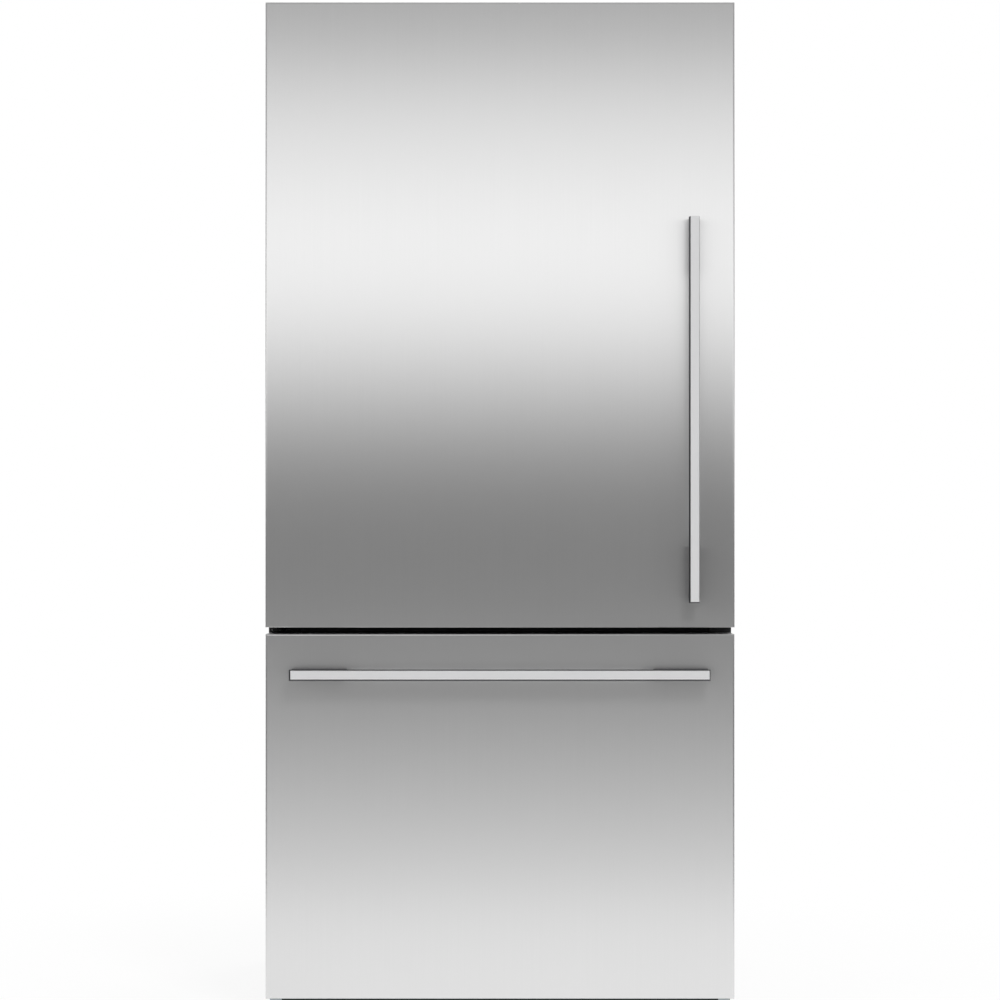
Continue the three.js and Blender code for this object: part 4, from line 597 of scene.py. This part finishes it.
foot_radius = 19  # these four in millimetres
stem_radius = 5.0
thread_depth = 0.7
thread_pitch = 2.0
for side in ("left", "right"):
    low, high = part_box("levelling_foot_" + side)
    centre = ((low.x + high.x) / 2, (low.y + high.y) / 2, 0)
    stem_top = high.z / mm
    profile = [(0, 0), (foot_radius - 1.5, 0), (foot_radius, 1.5), (foot_radius, 4.5),
               (foot_radius - 4, 7), (9, 8), (7.5, 8.4), (7.5, 11.4)]
    level = 12.0
    while level + thread_pitch < stem_top - 1:
        profile += [(stem_radius - thread_depth, level), (stem_radius, level + thread_pitch / 2)]
        level += thread_pitch
    profile += [(stem_radius - thread_depth, stem_top - 1), (stem_radius - 1.5, stem_top),
                (0, stem_top)]
    bm = bmesh.new()
    spun(bm, profile, centre, "Z", 36)
    keep(bm, f"screw_foot_{side}", rubber, "levelling_foot_" + side, "levelling_foot_" + side)

roller_profile = [(4.3, -8), (8, -8), (9, -6.4), (12.6, -6.4), (13.6, -8), (15.8, -8), (17, -6.8),
                  (17, 6.8), (15.8, 8), (13.6, 8), (12.6, 6.4), (9, 6.4), (8, 8), (4.3, 8)]
for side in ("left", "right"):
    low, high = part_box("rear_roller_" + side)
    bm = bmesh.new()
    spun(bm, roller_profile, (low + high) / 2, "X", 48)
    keep(bm, f"roller_{side}", rubber, "rear_roller_" + side, "rear_roller_" + side)

# ---- Compressor ----
# A sealed pot of two deep-drawn steel shells, welded round the middle and dipped in black enamel.
# It stands on rubber grommets, with a moulded terminal cover on one side and tubes on the other.

# Drawn copper, heated at its brazed joints: bright orange metal with darker, browner blotches.
copper, tree, shader = painter(
    "drawn copper tube", Base_Color=linear("B87048"), Metallic=1.0, Roughness=0.32)
textured(tree, shader, rough=(grain(tree, 5), 0.26, 0.4),
         tinted=(grain(tree, 12), "A9633E", "C67F55"))

bend_step = 18  # degrees between two rings of a bend
tube_sides = 12


def swept(bm, end, way, steps):
    """Carries a face along: straight on by a length, or round a pivot by (pivot, axis, degrees)."""
    way = Vector(way)
    for step in steps:
        if isinstance(step, tuple):
            pivot, axis, degrees = step
            made = bmesh.ops.spin(
                bm, geom=[end], cent=pivot, axis=axis, angle=math.radians(degrees),
                steps=max(4, round(abs(degrees) / bend_step)))["geom_last"]
            way = Matrix.Rotation(math.radians(degrees), 3, Vector(axis)) @ way
        else:
            made = bmesh.ops.extrude_face_region(bm, geom=[end])["geom"]
            corners = [g for g in made if isinstance(g, bmesh.types.BMVert)]
            bmesh.ops.translate(bm, vec=way * step, verts=corners)
        end = [g for g in made if isinstance(g, bmesh.types.BMFace)][0]
    return end


def bent_tube(bm, start, way, steps, radius):
    """A round tube that sets off in a direction and follows the steps."""
    aim = Vector((0, 0, 1)).rotation_difference(Vector(way)).to_matrix().to_4x4()
    disc = bmesh.ops.create_circle(bm, cap_ends=True, radius=radius, segments=tube_sides,
                                   matrix=Matrix.Translation(Vector(start)) @ aim)
    swept(bm, disc["verts"][0].link_faces[0], way, steps)
    bmesh.ops.recalc_face_normals(bm, faces=bm.faces)


def plate(bm, low, high, corner, steps=4):
    """A box whose upright edges are rounded."""
    made = bmesh.ops.create_cube(bm, size=1)["verts"]
    bmesh.ops.scale(bm, vec=high - low, verts=made)
    bmesh.ops.translate(bm, vec=(low + high) / 2, verts=made)
    upright = [e for e in {e for v in made for e in v.link_edges}
               if abs(e.verts[0].co.z - e.verts[1].co.z) > weld]
    bmesh.ops.bevel(bm, geom=upright, offset=corner, affect="EDGES", segments=steps, profile=0.5,
                    material=-1, clamp_overlap=True)


low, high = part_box("compressor")
pot_centre = Vector((205 * mm, (low.y + high.y) / 2, 52 * mm))  # of the pot's underside
pot_stretch = 1.25  # the pot is an oval, this much longer across the cabinet than in depth
pot_profile = [
    (0, 0), (44, 0), (58, 3.5), (66, 11), (69.5, 24), (70, 40), (70, 91), (73.6, 91.6), (74, 93),
    (74, 97), (73.4, 98.2), (70, 98.8), (69.4, 108), (66, 121), (58, 133), (45, 142), (24, 147.5),
    (0, 149),
]
bm = bmesh.new()
spun(bm, pot_profile, pot_centre, "Z", 64)
bmesh.ops.scale(bm, vec=(pot_stretch, 1, 1), verts=bm.verts, space=Matrix.Translation(-pot_centre))
keep(bm, "compressor_pot", black_steel, "cabinet", "compressor")

plate_x, plate_y = 90 * mm, 72 * mm  # from the pot's middle to the foot plate's edges
plate_bottom, plate_top = 50 * mm, 53 * mm
bm = bmesh.new()
plate(bm, Vector((pot_centre.x - plate_x, pot_centre.y - plate_y, plate_bottom)),
      Vector((pot_centre.x + plate_x, pot_centre.y + plate_y, plate_top)), 14 * mm, 6)
broken_edges(bm, 0.5 * mm)
keep(bm, "compressor_foot_plate", black_steel, "cabinet")

grommet = [(0, 0), (9, 0), (9, 3), (7.6, 3.8), (7.6, 9), (9, 9.8), (9, 10), (0, 10)]
grommet_x, grommet_y = 76 * mm, 58 * mm
bm = bmesh.new()
for sx in (-1, 1):
    for sy in (-1, 1):
        spun(bm, grommet, (pot_centre.x + sx * grommet_x, pot_centre.y + sy * grommet_y, low.z),
             "Z", 24)
keep(bm, "compressor_grommets", rubber, "cabinet")

terminal_half = 24 * mm
terminal_bottom, terminal_top = 83 * mm, 142 * mm
bm = bmesh.new()
plate(bm, Vector((low.x, pot_centre.y - terminal_half, terminal_bottom)),
      Vector((pot_centre.x - 74 * mm, pot_centre.y + terminal_half, terminal_top)), 5 * mm)
broken_edges(bm, 2 * mm, 3)
keep(bm, "compressor_terminal_cover", black_plastic, "cabinet")

tube_x = pot_centre.x + 84 * mm
tube_z = 124 * mm
tube_run = 8 * mm
turn = 9 * mm
bm = bmesh.new()
for sy, tube_radius, rise in ((-1, 4 * mm, 34 * mm), (1, 3.2 * mm, 26 * mm)):
    y = pot_centre.y + sy * 22 * mm
    pivot = Vector((tube_x + tube_run, y, tube_z + turn))
    bent_tube(bm, (tube_x, y, tube_z), (1, 0, 0), [tube_run, (pivot, (0, 1, 0), -90), rise],
              tube_radius)
keep(bm, "compressor_tubes", copper, "cabinet")

# ---- Melt-water tray ----
# A shallow polypropylene tray clipped on the warm compressor, where defrost water dries off.
# Its walls lean out a little, so that it comes out of its mould.

tray_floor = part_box("drip_tray")[0].z
formed("drip_tray", black_plastic, 0.6 * mm, [(lambda p: abs(p.z - tray_floor) < near, 3 * mm, 3)])

# ---- Condenser ----
# A steel tube bent to and fro through a pack of thin plates, dipped in black enamel after brazing.
# The two thick end plates stand on the base and carry the pack.


def fin_pack(bm, x0, x1, y0, y1, z0, z1, count, thickness):
    """Thin upright plates, evenly spaced from x0 to x1."""
    for i in range(count):
        x = x0 + (x1 - x0) * i / (count - 1)
        made = bmesh.ops.create_cube(bm, size=1)["verts"]
        bmesh.ops.scale(bm, vec=(thickness, y1 - y0, z1 - z0), verts=made)
        bmesh.ops.translate(bm, vec=(x, (y0 + y1) / 2, (z0 + z1) / 2), verts=made)


def serpentine(bm, x0, x1, y, z0, z1, rows, radius):
    """A tube that runs to and fro from x0 to x1 in rows that climb from z0 to z1."""
    pitch = (z1 - z0) / rows
    steps = []
    for row in range(rows):
        steps.append(x1 - x0)
        if row < rows - 1:
            end = x1 if row % 2 == 0 else x0
            pivot = Vector((end, y, z0 + pitch * (row + 1)))
            steps.append((pivot, (0, 1, 0), -180 if row % 2 == 0 else 180))
    bent_tube(bm, (x0, y, z0 + pitch / 2), (1, 0, 0), steps, radius)


low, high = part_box("condenser")
pack_left, pack_right = -350 * mm, -105 * mm
pack_bottom = 54 * mm
middle_y = (low.y + high.y) / 2
bm = bmesh.new()
fin_pack(bm, pack_left + 5 * mm, pack_right - 5 * mm, low.y + 2 * mm, high.y - 2 * mm, pack_bottom,
         high.z - 1 * mm, 48, 0.4 * mm)
fin_pack(bm, pack_left, pack_right, low.y, high.y, low.z, high.z, 2, 1.2 * mm)
for y in (middle_y - 22 * mm, middle_y + 22 * mm):
    serpentine(bm, pack_left, pack_right, y, pack_bottom, high.z, 5, 4 * mm)
keep(bm, "condenser_pack", black_steel, "cabinet", "condenser")

# ---- Condenser fan and its shroud ----
# A moulded shroud carries a small shaded-pole motor on three arms, and the fan draws room air
# through the condenser. The blades are thin, twisted and swept, moulded in one with their hub.

formed("condenser_fan_motor", black_plastic, 0.5 * mm)

hub_profile = [(2.8, -8), (14.5, -8), (16.2, -7.2), (17, -5.5), (17, 4), (16, 6.6), (13, 8), (0, 8),
               (0, 5), (2.8, 5)]
blade_count = 5
blade_root = 14  # millimetres from the axis
root_width = 9  # half the blade's width at the root, in millimetres
tip_width = 0.3  # half its width at the tip, as a share of the tip's distance from the axis
root_pitch, pitch_eased = 44, 20  # degrees at the root, and how many fewer at the tip
blade_sweep = 0.28  # radians that the tip runs ahead
blade_camber = 0.16  # share of the width
blade_thickness = 1.4 * mm


def fan(name, node, tip, material, axis):
    """A hub with a blind bore, and blades whose pitch eases from root to tip."""
    low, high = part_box(node)
    middle = (low + high) / 2
    seat = Matrix.Translation(middle) @ facing[axis]
    bm = bmesh.new()
    for i in range(blade_count):
        made = bmesh.ops.create_grid(bm, x_segments=9, y_segments=7, size=1)
        for v in made["verts"]:
            out, across = (v.co.x + 1) / 2, v.co.y
            radius = (blade_root + (tip - blade_root) * out) * mm
            widened = math.sin(math.pi / 2 * min(1, out * 1.15))
            width = (root_width + (tip * tip_width - root_width) * widened) * mm
            pitch = math.radians(root_pitch - pitch_eased * out)
            camber = blade_camber * (1 - across ** 2) * width
            ahead = across * width * math.cos(pitch) + blade_sweep * out ** 2 * radius
            lift = across * width * math.sin(pitch) * 0.8 - camber
            angle = ahead / radius + 2 * math.pi * i / blade_count
            reach = radius * (1 - 0.05 * abs(across) ** 3 * out)  # rounds the outer corners
            v.co = seat @ Vector((reach * math.cos(angle), reach * math.sin(angle), lift))
        faces = list({f for v in made["verts"] for f in v.link_faces})
        bmesh.ops.solidify(bm, geom=faces, thickness=blade_thickness)
    spun(bm, hub_profile, middle, axis, 40)
    keep(bm, name, material, node, node)


fan("condenser_fan_blades", "condenser_fan", 68, grey_plastic, "X")

# ---- Machine cover ----
# A galvanised sheet over the compressor compartment, with rows of punched slots that let the warm
# air out. It is screwed on, so that the machinery can be reached.

formed("rear_cover", galvanised, 0.3 * mm, moved=set_in)

# ---- Evaporator, its fan and its cover ----
# Aluminium tube pressed through aluminium plates, hung on the freezer's back wall. A small fan
# blows over it, and a white moulded cover with louvres hides both.

# Rolled aluminium as it leaves the mill: pale and silky, with faint lines along the rolling.
aluminium, tree, shader = painter(
    "mill-finish aluminium", Base_Color=linear("C9CBCE"), Metallic=1.0, Roughness=0.36)
textured(tree, shader, rough=(grain(tree, 8), 0.3, 0.42),
         tinted=(grain(tree, 3, (1, 1, 14)), "BFC1C4", "D2D4D7"))

low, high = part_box("evaporator")
coil_x = 225 * mm
coil_inset = 9 * mm
bm = bmesh.new()
fin_pack(bm, -coil_x, coil_x, low.y, high.y, low.z, high.z, 56, 0.5 * mm)
for y in (low.y + coil_inset, high.y - coil_inset):
    serpentine(bm, -coil_x, coil_x, y, low.z, high.z, 4, 4 * mm)
keep(bm, "evaporator_pack", aluminium, "cabinet", "evaporator")

# Injection-moulded ABS in appliance white: duller than the liner, because its mould is textured.
moulded_white, tree, shader = painter(
    "white moulded ABS", Base_Color=linear("EDEFF0"), Roughness=0.36, IOR=1.54)
textured(tree, shader, raised=(grain(tree, 1.1, detail=3.0), 0.02),
         rough=(grain(tree, 24), 0.32, 0.42), tinted=(grain(tree, 120), "EBEDEE", "EFF1F2"))
formed("evaporator_cover", moulded_white, 0.8 * mm)
fan("evaporator_fan_blades", "evaporator_fan", 45, grey_plastic, "Y")

# ---- Air duct cover and control display ----
# A hollow white moulding down the back wall, with air slits over each shelf. At eye level it
# carries a touch panel behind dark glass.

low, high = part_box("air_duct_cover")
face = low.y + 4 * mm
formed("air_duct_cover", moulded_white, 0.8 * mm, [(lambda p: abs(p.y - face) < near, 4 * mm, 4)])

# Smoked acrylic: polished and nearly black, so it reads as a dark glassy window.
dark_glass, tree, shader = painter(
    "smoked acrylic", Base_Color=linear("15181B"), Roughness=0.08, IOR=1.49, Coat_Weight=0.6)
textured(tree, shader, rough=(grain(tree, 30), 0.05, 0.12))

window_width, window_height, window_depth = 158 * mm, 34 * mm, 1.2 * mm
window_z = high.z - 47 * mm
bm = bmesh.new()
made = bmesh.ops.create_cube(bm, size=1)["verts"]
bmesh.ops.scale(bm, vec=(window_width, window_depth, window_height), verts=made)
bmesh.ops.translate(bm, vec=(0, low.y - window_depth / 2, window_z), verts=made)
corners = [e for e in bm.edges if abs(e.verts[0].co.y - e.verts[1].co.y) > weld]
bmesh.ops.bevel(bm, geom=corners, offset=6 * mm, affect="EDGES", segments=6, profile=0.5,
                material=-1, clamp_overlap=True)
broken_edges(bm, 0.3 * mm)
keep(bm, "display_window", dark_glass, "cabinet")

# Printed marks with a diode behind each: plain rings that glow a cool white.
lit_marks, tree, shader = painter(
    "lit touch marks", Base_Color=linear("CFE3EE"), Roughness=0.3,
    Emission_Color=linear("CFE6F5"), Emission_Strength=0.7)
textured(tree, shader, tinted=(grain(tree, 4), "C9DFEC", "D6E9F3"))

mark_profile = [(3.2, 0), (4.0, 0), (4.0, 0.15), (3.2, 0.15)]
mark_pitch = 27 * mm
mark_y = low.y - 1.3 * mm
bm = bmesh.new()
for i in range(-2, 3):
    spun(bm, mark_profile, (i * mark_pitch, mark_y, window_z), "Y", 28)
keep(bm, "display_marks", lit_marks, "cabinet")

# ---- Ceiling light ----
# A strip of light-emitting diodes behind an opal lens, snapped into the fridge's ceiling.
# The lens scatters the light evenly, so single lamps don't show.

# Opal polycarbonate: milky, so it glows evenly, with low ridges moulded across it. They are drawn
# 20 mm apart, far wider than they are, so that they show.
opal, tree, shader = painter(
    "opal polycarbonate", Base_Color=linear("F7FAFB"), Roughness=0.35, IOR=1.58,
    Transmission_Weight=0.35, Emission_Color=linear("F4F8FF"), Emission_Strength=2.5)
ridge_scale = 50 / math.pi  # a wave repeats every 2 pi / (20 * scale) metres
spot = add(tree, "ShaderNodeTexCoord")
ridges = add(tree, "ShaderNodeTexWave", {"Scale": ridge_scale, "bands_direction": "X"}, {
    "Vector": spot.outputs["Object"]})
textured(tree, shader, raised=(ridges.outputs["Fac"], 0.15))
lens_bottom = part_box("light_lens")[0].z
formed("light_lens", opal, 0.6 * mm, [
    (lambda p: abs(p.z - lens_bottom) < near, 2.5 * mm, 4),
])

# ---- Shelves and crisper cover ----
# Four-millimetre toughened glass, dropped into white moulded frames with a deep front edge and a
# spill stop along the back. The lowest frame also carries the rails of the crispers.

# Float glass, toughened after its edges were ground: clear, with a cool green cast.
glass, tree, shader = painter(
    "toughened float glass", Base_Color=linear("E6F4EF"), Roughness=0.0, IOR=1.52,
    Transmission_Weight=1.0, Alpha=0.5)
textured(tree, shader, rough=(grain(tree, 60), 0.0, 0.03))

for frame_node, glass_node in (
        ("shelf_frame_upper", "shelf_glass_upper"),
        ("shelf_frame_middle", "shelf_glass_middle"),
        ("crisper_cover_frame", "crisper_cover_glass")):
    shelf_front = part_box(frame_node)[0].y
    formed(frame_node, moulded_white, 0.8 * mm, [
        (lambda p: abs(p.y - shelf_front) < near, 3 * mm, 4),
    ])
    formed(glass_node, glass, 0.5 * mm)

# ---- Crispers ----
# Two clear drawers, injection-moulded in crystal polystyrene, that hang by their rims.
# Thick edges and rounded corners catch the light, and the front has a lip to pull by.

# Crystal polystyrene from a polished mould: water-clear and bright, with a slightly uneven flow.
crystal_clear, tree, shader = painter(
    "crystal polystyrene", Base_Color=linear("F1F8FA"), Roughness=0.06, IOR=1.59,
    Transmission_Weight=0.94, Alpha=0.45)
textured(tree, shader, raised=(grain(tree, 28, detail=1.0), 0.06),
         rough=(grain(tree, 35), 0.04, 0.12))

bin_wall = 2.5 * mm


def moulded_bin(node, material, radius, corner, steps):
    """A bin whose floor runs into its walls in a large radius, a little smaller on the inside."""
    floor_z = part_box(node)[0].z
    formed(node, material, radius, [
        (lambda p: abs(p.z - floor_z) < near, corner, steps),
        (lambda p: abs(p.z - floor_z - bin_wall) < near, corner - 2 * mm, steps),
    ])


for side in ("left", "right"):
    moulded_bin("crisper_" + side, crystal_clear, 0.7 * mm, 8 * mm, 5)

# ---- Door ----
# A folded skin of brushed stainless steel over foam, with a vacuum-formed liner behind. The grain
# runs up and down, so reflections smear sideways and the panel shows only soft level bands.


def brushed(name, code, metallic, roughness, line_mm, stretch, tints, **settings):
    """Steel with fine abrasive lines, drawn coarser than they are, so that they show at all."""
    made, tree, shader = painter(
        name, Base_Color=linear(code), Metallic=metallic, Roughness=roughness, Anisotropic=0.8,
        **settings)
    lines = grain(tree, line_mm, stretch, 3.0)
    textured(tree, shader, rough=(lines, roughness - 0.005, roughness + 0.005),
             tinted=(lines, *tints))
    return made


# Number four brushed steel: bright along the grain and soft across it. Lines that are really
# 0.05 mm apart are drawn 1 mm apart.
skin_steel = brushed("brushed stainless steel", "E4E4E4", 0.88, 0.28, 1.0, (1, 1, 300),
                     ("E3E3E3", "E5E5E5"))

door_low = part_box("door_skin")[0]
fold = 3.2 * mm
sharper = 0.3  # what is left of the bottom fold's radius


def tighten(p):
    """Makes the fold along the door's bottom edge sharper than the others."""
    if p.y < door_low.y + fold and p.z < door_low.z + fold:
        p.y = door_low.y + sharper * (p.y - door_low.y)
        p.z = door_low.z + sharper * (p.z - door_low.z)


formed("door_skin", skin_steel, 0.4 * mm, moved=tighten)

door_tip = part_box("door_liner")[1].y
formed("door_liner", liner_white, 1.0 * mm, [
    (lambda p: abs(p.y - door_tip) < near, 5 * mm, 4),
])

# ---- Magnetic seals ----
# Soft grey vinyl, extruded as a bellows with a magnet strip in its front chamber, cut and welded at
# the corners. It presses into a groove of the liner, and holds door and drawer shut.

# Extruded soft vinyl: a dull, even grey with a skin as smooth as rubber.
vinyl, tree, shader = painter(
    "soft grey vinyl", Base_Color=linear("94979A"), Roughness=0.55, IOR=1.53)
textured(tree, shader, raised=(grain(tree, 2.2), 0.03),
         tinted=(grain(tree, 50), "909396", "999C9F"))

seal_profile = [  # millimetres in from the outer edge, and out from the liner
    (0, 0), (15, 0), (15, 2.6), (10.6, 3.2), (11.8, 4.8), (10.2, 6.4), (13.4, 8), (14, 9),
    (14, 11.6), (13.2, 12.4), (1.8, 12.4), (1, 11.6), (1, 9), (1.6, 8), (4.8, 6.4), (3.2, 4.8),
    (4.4, 3.2), (0, 2.6),
]
seal_corner = 19 * mm


def seal(name, node):
    """The seal's section, carried up one side and on round four corners to where it began."""
    low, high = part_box(node)
    corner = Vector((1, 0, 1)) * seal_corner
    inner_low, inner_high = low + corner, high - corner
    across, up = inner_high.x - inner_low.x, inner_high.z - inner_low.z
    bm = bmesh.new()
    first = bm.faces.new([bm.verts.new((low.x + inset * mm, low.y + out * mm, inner_low.z))
                          for inset, out in seal_profile])
    steps = []
    for length, x, z in ((up, inner_low.x, inner_high.z), (across, inner_high.x, inner_high.z),
                         (up, inner_high.x, inner_low.z), (across, inner_low.x, inner_low.z)):
        steps += [length, (Vector((x, low.y, z)), (0, 1, 0), 90)]
    last = swept(bm, first, (0, 0, 1), steps)
    bmesh.ops.delete(bm, geom=[first, last], context="FACES_ONLY")
    bmesh.ops.remove_doubles(bm, verts=bm.verts, dist=weld)
    bmesh.ops.recalc_face_normals(bm, faces=bm.faces)
    keep(bm, name, vinyl, frame["nodes"][node]["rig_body"], node)


seal("door_seal", "door_gasket")
seal("drawer_seal", "drawer_gasket")

# ---- Handles ----
# Bars of stainless steel drawn through a die, each on two long stand-offs, whose sides lean out a
# little towards the back. Face and back are ground to a satin along the bar. The sides are painted
# darker as shade, and show as a thin dark line round the face: painted shade.

# Satin-ground stainless steel: paler and duller than the doors, with its lines along the bar.
bar_upright, bar_level = [
    brushed("satin stainless steel, " + way, "F0F0F1", 0.7, 0.5, 0.8, stretch,
            ("EFEFF0", "F1F1F2"), Anisotropic_Rotation=0.25)
    for way, stretch in (("upright", (1, 1, 120)), ("level", (120, 1, 1)))]

# Painted shade on the bars' sides: the same stainless steel made darker and plain, so that a dark
# line outlines the bright face.
bar_side_shade_steel, tree, shader = painter(
    "stainless steel with painted side shade", Base_Color=linear("68696C"), Metallic=1.0, Roughness=0.38,
    Specular_Tint=linear("BCBCBC"))
textured(tree, shader, rough=(grain(tree, 4), 0.34, 0.42),
         tinted=(grain(tree, 6), "646568", "6C6D70"))

lean_mm = {  # how far the back of a bar stands out past its face: left, right, down, up
    "door_handle_bar": (2.2, 0.8, 2.1, 0.3),
    "drawer_handle_bar": (3.3, 2.0, 3.6, 0.5),
}
face_drop = 0.7 * mm  # the level bar's face lies a little below the middle of its back
shade_side_turn = 0.5  # a face whose normal points less than this to the front or the back is a side


def leaning(node):
    """Leans the sides and ends of a bar outwards towards its back."""
    low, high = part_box(node)
    middle = (low + high) / 2
    left, right, down, up = [one * mm for one in lean_mm.get(node, (0, 0, 0, 0))]

    def lean(p):
        if p.y > middle.y:
            p.x += -left if p.x < middle.x else right
            p.z += -down if p.z < middle.z else up
        elif node == "drawer_handle_bar":
            p.z -= face_drop
    return lean


for material, nodes in (
        (bar_upright, ("door_handle_bar", "door_handle_post_lower", "door_handle_post_upper")),
        (bar_level, ("drawer_handle_bar", "drawer_handle_post_left", "drawer_handle_post_right"))):
    for node in nodes:
        bar = formed(node, material, 0.25 * mm, moved=leaning(node))
        # Every side face takes the darker steel: painted shade along the bar's edges.
        bar.data.materials.append(bar_side_shade_steel)
        for side in bar.data.polygons:
            side.material_index = int(abs(side.normal.y) < shade_side_turn)

# ---- Door shelves and dairy lid ----
# Clear troughs of crystal polystyrene that hang between the door's rims on moulded lugs. The top
# one has a hinged lid of the same plastic, for butter and cheese.

for node in ("bottle_shelf", "door_shelf", "dairy_shelf"):
    trough_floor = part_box(node)[0].z
    formed(node, crystal_clear, 0.7 * mm, [
        (lambda p: abs(p.z - trough_floor) < near, 5 * mm, 4),
    ])
formed("dairy_lid", crystal_clear, 0.6 * mm)

# ---- Freezer drawer ----
# The drawer front is built as the door is: brushed steel skin, foam, and a shallow formed liner.
# It hangs on two telescopic runners and carries the bin on their ledges.

drawer_low, drawer_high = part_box("drawer_skin")
top_drop, bottom_drop = 0.5 * mm, 0.6 * mm


def hang_lower(p):
    """Lets the drawer's folds hang a little lower, as a drawer does on its runners."""
    if p.z > drawer_high.z - near:
        p.z -= top_drop
    elif p.z < drawer_low.z + near:
        p.z -= bottom_drop


formed("drawer_skin", skin_steel, 0.4 * mm, moved=hang_lower)
drawer_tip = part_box("drawer_liner")[1].y
formed("drawer_liner", liner_white, 1.0 * mm, [
    (lambda p: abs(p.y - drawer_tip) < near, 4 * mm, 4),
])
for side in ("left", "right"):
    for member in ("outer", "middle", "inner"):
        formed(f"runner_{member}_{side}", galvanised, 0.3 * mm)

# ---- Freezer bin and tray ----
# A deep clear bin for large packs, and a white tray that slides back and forth on its rim.
# Both are moulded with sloping walls and well-rounded corners.

moulded_bin("freezer_bin", crystal_clear, 0.8 * mm, 12 * mm, 6)
moulded_bin("freezer_tray", moulded_white, 0.7 * mm, 8 * mm, 5)
